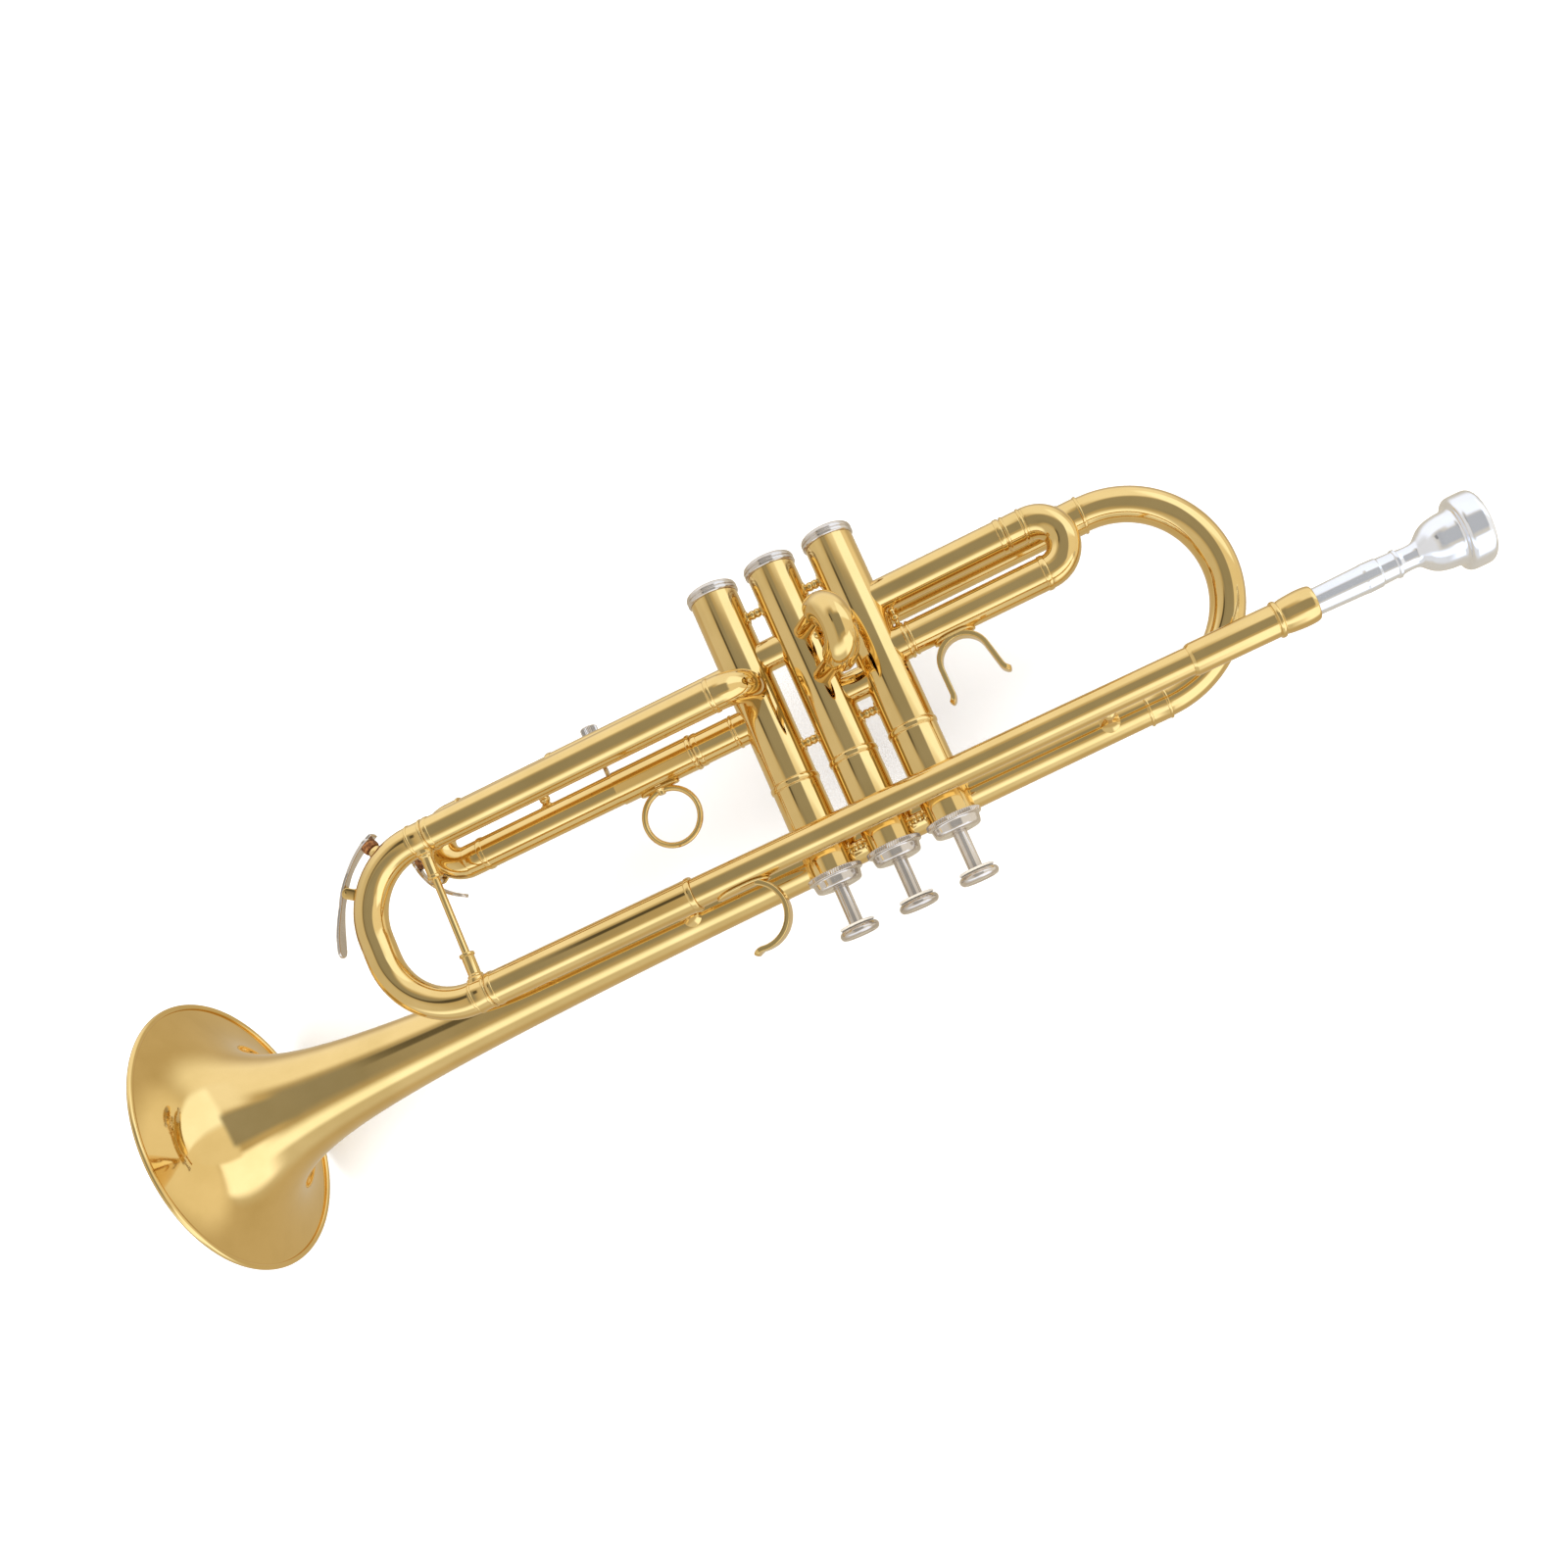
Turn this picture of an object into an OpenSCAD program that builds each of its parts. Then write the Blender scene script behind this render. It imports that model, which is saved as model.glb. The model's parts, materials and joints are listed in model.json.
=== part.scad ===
// Three-valve trumpet, built from its separate soldered, screwed and sliding pieces.
// +X runs towards the bell, +Y towards the finger buttons and +Z towards the leadpipe side.
// The horn lies on its bell side: the origin is under the middle of its outline, at the rim's lowest point.

/* [Layout] */
// Distance between the axes of neighbouring valves
valve_pitch = 25.3; // [25:0.1:27]
// Distance from the row of valves to the bell's axis
bell_side = 23.2; // [22:0.1:26]
// Distance from the row of valves to the leadpipe
lead_side = 23.5; // [22:0.1:26]
// How far the leadpipe lies below the bell's axis, away from the buttons
lead_drop = 1.8; // [0:0.1:4]

/* [Tubing] */
// Bore of all cylindrical tubing
tube_bore = 11.6; // [11:0.05:11.9]
// Wall of the inner slide legs
leg_wall = 0.35; // [0.25:0.01:0.5]
// Radial clearance of a slide leg in its sleeve
slide_fit = 0.05; // [0.02:0.01:0.09]
// Wall of the outer sleeves and bows
sleeve_wall = 0.4; // [0.3:0.01:0.5]
// Depth of the end bead of a sleeve over the sleeve's surface
bead_rise = 0.5; // [0.2:0.1:0.8]
// Length of the end bead of a sleeve
bead_len = 2.4; // [1.5:0.1:4]
// Gap between a closed slide and what it stops against
stop_gap = 0.3; // [0.2:0.05:0.5]

/* [Bell] */
// Diameter over the bell's rim
rim_d = 122; // [118:0.5:126]
// Distance from the middle valve to the bell's face
bell_face = 315; // [300:1:330]
// Thickness of the bell's sheet
bell_wall = 0.5; // [0.4:0.05:0.8]
// Diameter of the wire rolled into the rim
rim_wire_d = 2.6; // [2:0.1:3.4]
// Length over which the flare opens fastest
flare_reach = 6.5; // [5.5:0.1:7.5]
// Power of the flare: a larger one narrows faster away from the rim
flare_power = 0.51; // [0.5:0.005:0.52]
// Distance from the middle valve back to the centre of the bell's bow
bell_bow_back = 119; // [112:1:126]
// How far the bell's tail lies below the bell's axis
tail_drop = 78.8; // [76:0.2:80]
// Distance from the row of valves to the bell's tail
tail_side = 15; // [14.5:0.1:16]
// Outer diameter of the bell's tail
tail_d = 12.4; // [12.2:0.1:12.8]
// Radius of the elbow that leads the tail into the first valve
tail_elbow_r = 9.2; // [8.5:0.1:10]
// Length of the ferrules on the bell's bow
bell_ferrule_len = 9; // [6:0.5:14]

/* [Valves] */
// Outer diameter of a valve casing
casing_d = 19.5; // [19.2:0.1:20]
// Diameter of a piston
piston_d = 16.8; // [16.4:0.1:17.2]
// Radial clearance of a piston in its casing
piston_fit = 0.05; // [0.02:0.01:0.09]
// Distance from the bell's axis down to the shoulder of the bottom cap
casing_low = 109; // [107:0.5:112]
// Length of the spigot under that shoulder
spigot_len = 3; // [2:0.1:4]
// Wall of the spigot
spigot_wall = 0.9; // [0.7:0.05:1.1]
// Distance from the bell's axis up to the top cap
casing_top = 9.6; // [8:0.2:12]
// Distance from the bell's axis down to the baluster ring
baluster_low = 28; // [22:0.5:34]
// Thickness of a bottom cap's floor
bottom_cap_floor = 1.5; // [1:0.1:2.5]
// Diameter of a bottom cap
bottom_cap_d = 21; // [20.6:0.1:22]
// Diameter of a top cap's grip
top_cap_d = 22.4; // [21.5:0.1:23.5]
// Height of a top cap
top_cap_h = 6.4; // [5.5:0.1:8]
// Diameter of a top cap's upper face
top_cap_face_d = 18.4; // [17:0.2:20]
// Diameter of a valve stem
stem_d = 5.7; // [5:0.1:6.2]
// Stroke of a piston
valve_stroke = 15.4; // [14:0.1:16]
// Thickness of the felt under a button
felt_h = 1; // [0.6:0.1:1.6]
// Diameter of a finger button
button_d = 16; // [14:0.5:18]
// Thickness of a finger button
button_h = 4; // [3:0.1:5]
// Length of the ported part of a piston
piston_len = 61; // [60.5:0.5:62]
// Distance from the bell's axis down to the top of the ported part
piston_top = 31; // [30:0.5:31.5]
// Bore of the passages through a piston
passage_bore = 9; // [8:0.1:9.4]
// Depth of the crossover tube between the first two valves below the bell's axis
crossover_high = 53; // [52.4:0.1:53.2]
// Depth of the crossover tube between the last two valves
crossover_low = 79; // [78:0.1:80]
// Wire diameter of a valve spring
spring_wire_d = 0.7; // [0.5:0.05:0.9]
// Turns of a valve spring
spring_turns = 7; // [6:1:9]

/* [Leadpipe and mouthpiece] */
// Distance from the middle valve back to the receiver's mouth
receiver_back = 174.4; // [168:0.2:180]
// Length of the receiver
receiver_len = 47.6; // [42:0.2:52]
// Distance from the receiver's mouth to its collar
receiver_collar = 14.1; // [13:0.1:18]
// Greatest diameter of the receiver's bell-shaped mouth
receiver_d = 13.9; // [13:0.1:15]
// Outer diameter of the leadpipe at the receiver
lead_start_d = 10.6; // [10.2:0.1:11]
// Outer diameter of the leadpipe at the tuning slide
lead_end_d = 11.8; // [11.6:0.05:12]
// Wall of the leadpipe
lead_wall = 0.5; // [0.4:0.05:0.7]
// Overall length of the mouthpiece
mouthpiece_len = 87; // [84:0.5:90]
// Depth of the mouthpiece's shank in the receiver
shank_depth = 25.6; // [22:0.2:28]
// Diameter over the mouthpiece's rim
mouth_rim_d = 27; // [25:0.2:28]
// Inner diameter of the mouthpiece's rim
mouth_cup_d = 16.6; // [15.5:0.1:17.5]
// Depth of the mouthpiece's cup
cup_depth = 11; // [9:0.2:13]
// Diameter of the mouthpiece's throat
throat_d = 3.7; // [3.4:0.1:4.2]
// Diameter of the shank's tip
shank_tip_d = 8.8; // [8.4:0.1:9.2]
// Diameter of the shank at the receiver's mouth
shank_mouth_d = 10; // [9.7:0.1:10.3]
// Clearance round the shank in the receiver
shank_fit = 0.04; // [0.02:0.01:0.08]

/* [Main tuning slide] */
// How far the lower leg lies below the bell's axis
tuning_low = 67.6; // [66:0.2:70]
// Distance from the ends of the tuning sleeves to the start of the bow
tuning_ring = 7.5; // [6:0.1:9]
// Distance from the middle valve to the start of the bow
tuning_bow_x = 169; // [168:0.2:174]
// Bend radius of the bow's two corners
tuning_bow_r = 29; // [24:0.5:32]
// Distance from the middle valve to the rear end of the upper sleeve
lead_sleeve_x = 73; // [70:0.5:80]
// Bend radius of the elbow that leads the lower leg into the third valve
knuckle_r = 10.4; // [9.6:0.1:11]
// Distance from the start of the bow back to the slide's brace
tuning_brace_back = 3; // [2.4:0.1:3.8]
// Length of the legs inside the sleeves
tuning_engage = 78; // [70:0.5:84]

/* [Valve slides] */
// Depth of the first slide's lower leg below the bell's axis
first_low = 80.6; // [80:0.1:81.4]
// Depth of its upper leg
first_high = 60.2; // [60:0.1:61]
// Distance from the middle valve back to the centre of its bow
first_bow_back = 97; // [94:0.5:102]
// Distance from the middle valve back to the end of its fixed sleeve
first_sleeve_back = 87.6; // [84:0.2:90]
// Depth of the second slide's lower leg
second_low = 79.1; // [78.8:0.1:80]
// Depth of its upper leg
second_high = 60.2; // [60:0.1:60.8]
// Angle that the second slide leans back from square to the valves
second_angle = 34; // [32:1:36]
// Distance by which the second slide passes the valve's axis, on the bell's side
second_aside = 2.2; // [0:0.1:2.4]
// Distance from the valve's axis to the end of its sleeves
second_stop = 25.2; // [24:0.1:27]
// Length of the ferrules between those sleeves and its bow
second_ferrule = 0.6; // [0.4:0.1:3]
// Diameter of the ball on the second slide's pull knob
knob_d = 4.4; // [3.6:0.1:5]
// Distance from the middle of the second slide out to that ball
knob_out = 5; // [4.6:0.1:8]
// Depth of the third slide's lower leg
third_low = 76; // [75.4:0.1:77]
// Depth of its upper leg
third_high = 57.2; // [56.6:0.1:58]
// Distance from the middle valve to the end of its long fixed sleeve
third_sleeve_x = 113; // [108:0.5:118]
// Distance from the middle valve to the end of its short fixed sleeve
third_short_x = 56; // [52:0.5:58]
// Distance from the middle valve to the start of its bow
third_bow_x = 160; // [156:0.5:166]
// Length of the ferrules beside its bow
third_ferrule = 6.5; // [4:0.5:9]
// Distance from the middle valve to the brace between its legs
third_brace_x = 121; // [119:0.5:130]
// Distance from the middle valve to the thumb screw that stops the slide
screw_x = 95.5; // [94:0.5:100]
// Outer diameter of the sleeve that carries the finger ring
ring_sleeve_d = 14; // [13.6:0.1:14.4]
// Distance from the middle valve to the front end of that sleeve
ring_sleeve_x = 91; // [89:0.5:96]

/* [Finger and thumb pieces] */
// Distance from the middle valve to the ring's centre
ring_x = 75.5; // [72:0.5:78]
// Inner diameter of the finger ring
ring_bore = 20.4; // [18:0.1:22]
// Thickness of the ring's wire
ring_wire = 2.4; // [2:0.1:3]
// Radius of the finger hook's curve
hook_r = 12.6; // [11:0.1:14]
// Distance from the middle valve to the middle of the hook's curve
hook_x = 55.5; // [54:0.5:58]
// Width of the finger hook and the thumb saddle
strip_w = 7; // [5:0.5:8]
// Thickness of the finger hook and the thumb saddle
strip_h = 2.2; // [1.6:0.1:2.8]
// Distance from the middle valve back to the thumb saddle
saddle_back = 54.8; // [54:0.2:58]
// Inner radius of the thumb saddle's curve
saddle_r = 8.8; // [8:0.1:10]
// Height of the thumb saddle's arms over its curve
saddle_arm = 10; // [7:0.5:12]
// Inner radius of the curls at the tips of the hook and the saddle
curl_r = 3; // [2:0.2:4]

/* [Water keys] */
// Height of a key's nipple over its bow
nipple_h = 1.6; // [1.2:0.1:2]
// Bore of a nipple
nipple_bore = 3; // [2.4:0.1:3.4]
// Thickness of a key's cork
cork_h = 3; // [2.4:0.1:3.6]
// Diameter of a key's cork
cork_d = 7; // [6:0.1:7.6]
// Thickness of a key's lever
lever_h = 1.6; // [1.2:0.1:2]
// Width of a key's lever
lever_w = 4.4; // [3.6:0.1:5]
// Diameter of a key's pivot screw
pivot_d = 1.6; // [1.4:0.1:2]
// Radial clearance of a lever on its pivot screw
pivot_fit = 0.05; // [0.02:0.01:0.08]
// Gap between a lever and each ear beside it
lever_side_fit = 0.3; // [0.2:0.05:0.5]
// Wire diameter of a key's spring
key_wire = 0.4; // [0.3:0.05:0.5]

/* [Braces and screws] */
// Rod diameter of the slide and bell braces
brace_rod = 3; // [2.4:0.1:4]
// Foot diameter of the braces
brace_foot = 6; // [5:0.1:7]
// Distance from the middle valve to the front bell brace
front_brace_x = 88; // [84:0.5:94]
// Distance from the middle valve back to the rear bell brace
rear_brace_back = 95; // [90:0.5:102]
// Distance from the bottom caps up to the lowest row of valve braces
brace_row_low = 12.5; // [10:0.5:16]
// Distance from the baluster rings down to the middle row
brace_row_mid = 13; // [9:0.5:16]
// Distance from the top caps down to the uppermost row
brace_row_top = 5.1; // [4.8:0.1:6.5]
// Height of the cone at each end of a bell brace, from the axis of its tube
bell_brace_cone = 17; // [14:0.5:20]
// Diameter of the thumb screw's head
thumb_head_d = 7.2; // [6:0.1:8]
// Diameter of the thumb screw's shank
thumb_shank_d = 2; // [1.6:0.1:2.4]

/* [Hidden] */

$fn = 64;
VALVES = [0, 1, 2];
curl_sweep = 60;
eps = 0.01;
cut = 1;

// Tubing that follows from the bore
leg_d = tube_bore + 2 * leg_wall;
sleeve_bore = leg_d + 2 * slide_fit;
sleeve_d = sleeve_bore + 2 * sleeve_wall;
casing_bore = piston_d + 2 * piston_fit;
spigot_d = casing_bore + 2 * spigot_wall;
leg_start = casing_d / 2 + 2;
tuning_stop = tuning_bow_x - tuning_ring;

// Height of the valve row over the ground, and the middle of the outline
rim_r = rim_d / 2;
valve_z = rim_r + bell_side;
mouth_x = -receiver_back + shank_depth - mouthpiece_len;
cap_face = casing_low + spigot_len + bottom_cap_floor;
mid_x = (bell_face + mouth_x) / 2;
mid_y = (rim_r - cap_face) / 2;

// The bell's line
lip_r = rim_r - rim_wire_d / 2;
lip_x = bell_face - rim_wire_d / 2;
bell_len = lip_x + bell_bow_back;
FLARE_STEPS = 44;
FLARE_CROWDING = 2.4;
function flare_r(t) = lip_r * pow((t + flare_reach) / flare_reach, -flare_power);
function flare_slope(t) = -flare_power * flare_r(t) / (t + flare_reach);
function flare_t(i) = bell_len * pow(i / FLARE_STEPS, FLARE_CROWDING);
bell_end_d = 2 * flare_r(bell_len);
bow_tilt = atan((bell_side - tail_side) / tail_drop);
bow_r = norm([bell_side - tail_side, tail_drop]) / 2;

// Valve heights and stops, as distances from the bell's axis towards the buttons
stem_top = casing_top + top_cap_h + valve_stroke + felt_h + eps;
barrel_wall = 1;
barrel_d = piston_d - 1.6;
bumper_h = 1.5;
cap_spigot = 4;
barrel_top = casing_top - cap_spigot - bumper_h - eps;
guide_h = 2;
guide_low = -piston_top + cap_spigot;
guide_d = barrel_d - 2 * barrel_wall - 0.8;
guide_ear_w = 3;
window_w = guide_ear_w + 0.6;
spring_d = guide_d - 1.6;

function valve_x(i) = (i - 1) * valve_pitch;
third_x = valve_x(2);
first_x = valve_x(0);
second_mid = (second_low + second_high) / 2;

// ---------- placing ----------

// Puts a piece at x along the horn, y towards the buttons and side towards the leadpipe
module at(x, y, side) {
    translate([x - mid_x, y - mid_y, valve_z + side]) children();
}

// Turns a piece built along +Z to run along +X, -X or +Y
module along_x() {
    rotate([0, 90, 0]) children();
}

module along_back() {
    rotate([0, -90, 0]) children();
}

module along_y() {
    rotate([-90, 0, 0]) children();
}

// On valve i, with +Z of the piece towards the buttons
module on_valve(i) {
    at(valve_x(i), 0, 0) along_y() children();
}

// Halfway between the second slide's legs, with +Z out along the slide
module on_second() {
    at(0, -second_mid, 0) rotate([0, -second_angle, 0]) translate([second_aside, 0, 0]) children();
}

// ---------- shared shapes ----------

module pipe(len, d, bore) {
    difference() {
        cylinder(h = len, d = d);
        translate([0, 0, -cut]) cylinder(h = len + 2 * cut, d = bore);
    }
}

// A straight tube with a bead at its far end
module beaded_pipe(len, d, bore) {
    difference() {
        union() {
            cylinder(h = len, d = d);
            translate([0, 0, len - bead_len]) bead(d, bead_len);
        }
        translate([0, 0, -cut]) cylinder(h = len + 2 * cut, d = bore);
    }
}

// A ring with softened corners over a tube of diameter d
module bead(d, len) {
    soft = bead_rise / 2;
    rotate_extrude()
        polygon([
            [0, 0],
            [d / 2 + soft, 0],
            [d / 2 + bead_rise, soft],
            [d / 2 + bead_rise, len - soft],
            [d / 2 + soft, len],
            [0, len],
        ]);
}

// A bent tube in the XY plane, from +X round towards +Y
module bend(radius, angle, d, bore) {
    rotate_extrude(angle = angle)
        translate([radius, 0])
            difference() {
                circle(d = d);
                circle(d = bore);
            }
}

// A half turn of tube that bulges towards +X, with its ends at y = radius and -radius
module u_bow(radius, d, bore) {
    rotate([0, 0, -90]) bend(radius, 180, d, bore);
}

// The same half turn without its bore
module bow_solid(radius, d) {
    rotate([0, 0, -90]) rotate_extrude(angle = 180) translate([radius, 0]) circle(d = d);
}

// A turned brace of length len along +Z: two cone feet, a rod and a ball in the middle
module turned_brace(len, foot_d, foot_h, rod_d, ball_d) {
    cylinder(h = len, d = rod_d);
    cylinder(h = foot_h, d1 = foot_d, d2 = rod_d);
    translate([0, 0, len - foot_h]) cylinder(h = foot_h, d1 = rod_d, d2 = foot_d);
    translate([0, 0, len / 2]) sphere(d = ball_d);
}

// ---------- bell ----------

module flare_solid(inset) {
    outer = [for (i = [0:FLARE_STEPS]) flare_point(flare_t(i), 0)];
    inner = [for (i = [FLARE_STEPS:-1:0]) flare_point(flare_t(i), inset)];
    rotate_extrude($fn = 128) polygon(concat(outer, inner));
}

// A point of the bell's line at distance t behind the lip, moved inwards along its normal
function flare_point(t, inset) =
    let (slope = flare_slope(t), n = norm([1, slope]))
    [flare_r(t) - inset / n, -t - (t < bell_len - eps ? inset * slope / n : 0)];

module rim_ring() {
    rotate_extrude($fn = 128) translate([lip_r, 0]) circle(d = rim_wire_d, $fn = 24);
}

module bell() {
    color("gold")
        at(lip_x, 0, -bell_side) along_x()
            difference() {
                flare_solid(bell_wall);
                rim_ring();
            }
}

module bell_rim_wire() {
    color("gold") at(lip_x, 0, -bell_side) along_x() rim_ring();
}

module bell_bow() {
    color("gold")
        at(-bell_bow_back, -tail_drop / 2, -(bell_side + tail_side) / 2)
            rotate([-bow_tilt, 0, 0])
                rotate([0, 0, 180])
                    u_bow(bow_r, bell_end_d, bell_end_d - 2 * bell_wall);
}

module bell_tail() {
    elbow_x = first_x - tail_elbow_r;
    color("gold")
        difference() {
            union() {
                at(elbow_x, -tail_drop, -tail_side)
                    along_back() cylinder(h = elbow_x + bell_bow_back, d = tail_d);
                at(elbow_x, -tail_drop, tail_elbow_r - tail_side)
                    rotate([90, 0, 0]) rotate([0, 0, -90]) bend(tail_elbow_r, 90, tail_d, eps);
            }
            at(elbow_x, -tail_drop, -tail_side)
                along_back() cylinder(h = elbow_x + bell_bow_back + cut, d = tube_bore);
            at(elbow_x, -tail_drop, tail_elbow_r - tail_side)
                rotate([90, 0, 0]) rotate([0, 0, -90]) bend(tail_elbow_r, 90, tube_bore, eps);
            on_valve(0) translate([0, 0, -casing_low]) cylinder(h = casing_low, d = casing_d);
        }
}

module bell_ferrules() {
    bell_seat = 2 * flare_r(bell_len - bell_ferrule_len);
    color("gold") {
        at(-bell_bow_back, 0, -bell_side) along_x() ferrule(bell_ferrule_len, bell_seat);
        at(-bell_bow_back, -tail_drop, -tail_side) along_x() ferrule(bell_ferrule_len, tail_d);
    }
}

// A collar round a tube, with a bead at each end
module ferrule(len, bore) {
    d = max(bore, bell_end_d) + 2 * sleeve_wall;
    difference() {
        union() {
            cylinder(h = len, d = d);
            bead(d, bead_len / 2);
            translate([0, 0, len - bead_len / 2]) bead(d, bead_len / 2);
        }
        translate([0, 0, -cut]) cylinder(h = len + 2 * cut, d = bore);
    }
}

module bell_braces() {
    color("gold") {
        bell_brace(front_brace_x, sleeve_d);
        bell_brace(-rear_brace_back, lead_d(-rear_brace_back));
    }
}

// A brace across from the bell to a tube of the leadpipe side
module bell_brace(x, tube_d) {
    span = bell_side + lead_side;
    lean = atan(lead_drop / span);
    difference() {
        at(x, 0, -bell_side) rotate([lean, 0, 0])
            turned_brace(span / cos(lean), 2 * brace_foot, bell_brace_cone, brace_rod, brace_rod + 2);
        at(x - cap_face, 0, -bell_side)
            along_x() cylinder(h = 2 * cap_face, r = flare_r(lip_x - x - brace_foot));
        at(x - cap_face, -lead_drop, lead_side) along_x() cylinder(h = 2 * cap_face, d = tube_d);
    }
}

// ---------- leadpipe ----------

receiver_end = -receiver_back + receiver_len;
receiver_tube_d = lead_start_d + 2 * bell_wall + 0.8;
lead_inset = 12;
lead_x0 = receiver_end - lead_inset;

// Outer diameter of the leadpipe at x
function lead_d(x) =
    lead_start_d + (lead_end_d - lead_start_d) * (x - lead_x0) / (lead_sleeve_x - lead_x0);

module leadpipe() {
    run = lead_sleeve_x - lead_x0;
    color("gold")
        at(lead_x0, -lead_drop, lead_side) along_x()
            difference() {
                union() {
                    cylinder(h = run, d1 = lead_start_d, d2 = lead_end_d);
                    translate([0, 0, run - eps]) cylinder(h = bead_len + eps, d = lead_end_d);
                }
                translate([0, 0, -eps])
                    cylinder(
                        h = run + bead_len + 2 * eps,
                        d1 = lead_start_d - 2 * lead_wall,
                        d2 = lead_end_d - 2 * lead_wall
                    );
            }
}

module mouthpiece_receiver() {
    color("gold")
        at(-receiver_back, -lead_drop, lead_side) along_x()
            difference() {
                union() {
                    rotate_extrude()
                        polygon([
                            [0, 0],
                            [shank_mouth_d / 2 + 0.6, 0],
                            [receiver_d / 2 - 0.7, 1.6],
                            [receiver_d / 2 - 0.15, 3.4],
                            [receiver_d / 2, 5.5],
                            [receiver_d / 2 - 0.15, 8],
                            [receiver_tube_d / 2 + 0.3, 12],
                            [receiver_tube_d / 2, receiver_collar],
                            [receiver_tube_d / 2, receiver_len - 0.6],
                            [receiver_tube_d / 2 - 0.6, receiver_len],
                            [0, receiver_len],
                        ]);
                    translate([0, 0, receiver_collar - 1]) bead(receiver_tube_d, 2);
                }
                shank_socket();
                translate([0, 0, shank_depth]) cylinder(h = receiver_len, d = shank_tip_d - 1);
                translate([0, 0, receiver_len - lead_inset])
                    cylinder(h = receiver_len, d1 = lead_start_d, d2 = lead_d(lead_x0 + receiver_len));
            }
}

// The tapered hole for the shank, wider than the shank by its clearance
module shank_socket() {
    translate([0, 0, -eps])
        cylinder(
            h = shank_depth + 1,
            d1 = shank_mouth_d + 2 * shank_fit,
            d2 = shank_tip_d + 2 * shank_fit
        );
}

module leadpipe_sleeve() {
    color("gold")
        at(lead_sleeve_x, -lead_drop, lead_side) along_x()
            difference() {
                union() {
                    beaded_pipe(tuning_stop - lead_sleeve_x, sleeve_d, sleeve_bore);
                    cylinder(h = bead_len, d = sleeve_d);
                    bead(sleeve_d, bead_len);
                }
                translate([0, 0, -cut]) cylinder(h = bead_len + cut, d = lead_end_d);
                translate([0, 0, bead_len]) cylinder(h = tuning_stop, d = sleeve_bore);
            }
}

// The hook rises from its foot round the mouthpiece side and ends in a small curl turned back up
module finger_hook() {
    pipe_r = lead_d(hook_x) / 2;
    centre_y = hook_r + pipe_r - lead_drop - strip_h / 2;
    foot_len = 22;
    hook_from = 82;
    hook_sweep = 165;
    color("gold")
        difference() {
            union() {
                at(hook_x, centre_y, lead_side) rotate([0, 0, hook_from]) {
                    strip_arc(hook_r - strip_h / 2, hook_sweep);
                    translate([hook_r + strip_h / 2 + curl_r, 0, 0])
                        rotate([0, 0, 180]) strip_arc(curl_r, curl_sweep);
                }
                at(hook_x - foot_len / 2, -lead_drop, lead_side)
                    along_x() saddle_foot(foot_len, lead_d(hook_x), strip_w + 1);
            }
            at(hook_x - foot_len, -lead_drop, lead_side)
                along_x() cylinder(h = 2 * foot_len, r = pipe_r + eps);
        }
}

// A stretch of strip bent round the Z axis from +X towards +Y, over an inner radius
module strip_arc(inner, sweep) {
    rotate_extrude(angle = sweep) translate([inner, -strip_w / 2]) square([strip_h, strip_w]);
}

// A plate that fits over a tube of diameter d lying along +Z, on its +Y side
module saddle_foot(len, d, w) {
    plate = 1.2;
    intersection() {
        cylinder(h = len, d = d + 2 * plate);
        translate([-w / 2, 0, 0]) cube([w, d, len]);
    }
}

module lower_sleeve() {
    elbow_x = third_x + knuckle_r;
    elbow_side = lead_side - knuckle_r;
    color("gold")
        difference() {
            union() {
                at(elbow_x, -tuning_low, lead_side) along_x() {
                    beaded_pipe(tuning_stop - elbow_x, sleeve_d, sleeve_bore);
                    bead(sleeve_d, bead_len);
                }
                at(elbow_x, -tuning_low, elbow_side)
                    rotate([90, 0, 0]) rotate([0, 0, 90]) bend(knuckle_r, 90, sleeve_d, eps);
                at(third_x, -tuning_low, 0) cylinder(h = elbow_side, d = sleeve_d);
            }
            at(elbow_x - eps, -tuning_low, lead_side)
                along_x() cylinder(h = tuning_stop, d = sleeve_bore);
            at(elbow_x, -tuning_low, elbow_side)
                rotate([90, 0, 0]) rotate([0, 0, 90]) bend(knuckle_r, 90, tube_bore, eps);
            at(third_x, -tuning_low, -cut) cylinder(h = elbow_side + cut, d = tube_bore);
            on_valve(2) translate([0, 0, -casing_low]) cylinder(h = casing_low, d = casing_d);
        }
}

// ---------- valves ----------

// Ports of each valve as [height, turn about the valve from +X towards the bell side, distance aside]
second_turn = -90 - second_angle;
PORTS = [
    [[-first_low, 180, 0], [-first_high, 180, 0], [-crossover_high, 0, 0], [-tail_drop, 90, 0]],
    [
        [-second_low, second_turn, second_aside],
        [-second_high, second_turn, second_aside],
        [-crossover_high, 180, 0],
        [-crossover_low, 0, 0],
    ],
    [[-third_low, 0, 0], [-third_high, 0, 0], [-crossover_low, 180, 0], [-tuning_low, -90, 0]],
];

module valve_casing(i) {
    color("gold")
        on_valve(i) difference() {
            union() {
                translate([0, 0, -casing_low]) cylinder(h = casing_low + casing_top, d = casing_d);
                translate([0, 0, -casing_low - spigot_len]) cylinder(h = spigot_len + eps, d = spigot_d);
                translate([0, 0, -baluster_low - bead_len / 2]) bead(casing_d, bead_len);
            }
            translate([0, 0, -cap_face]) cylinder(h = cap_face + casing_top + cut, d = casing_bore);
            for (port = PORTS[i])
                translate([0, 0, port[0]]) rotate([0, 0, port[1]])
                    translate([0, port[2], 0]) along_x() cylinder(h = casing_d, d = tube_bore);
            translate([-guide_ear_w / 2 - piston_fit, -casing_bore / 2 - 0.5, guide_low - eps])
                cube([guide_ear_w + 2 * piston_fit, casing_bore + 1, casing_top - guide_low + cut]);
        }
}

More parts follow.
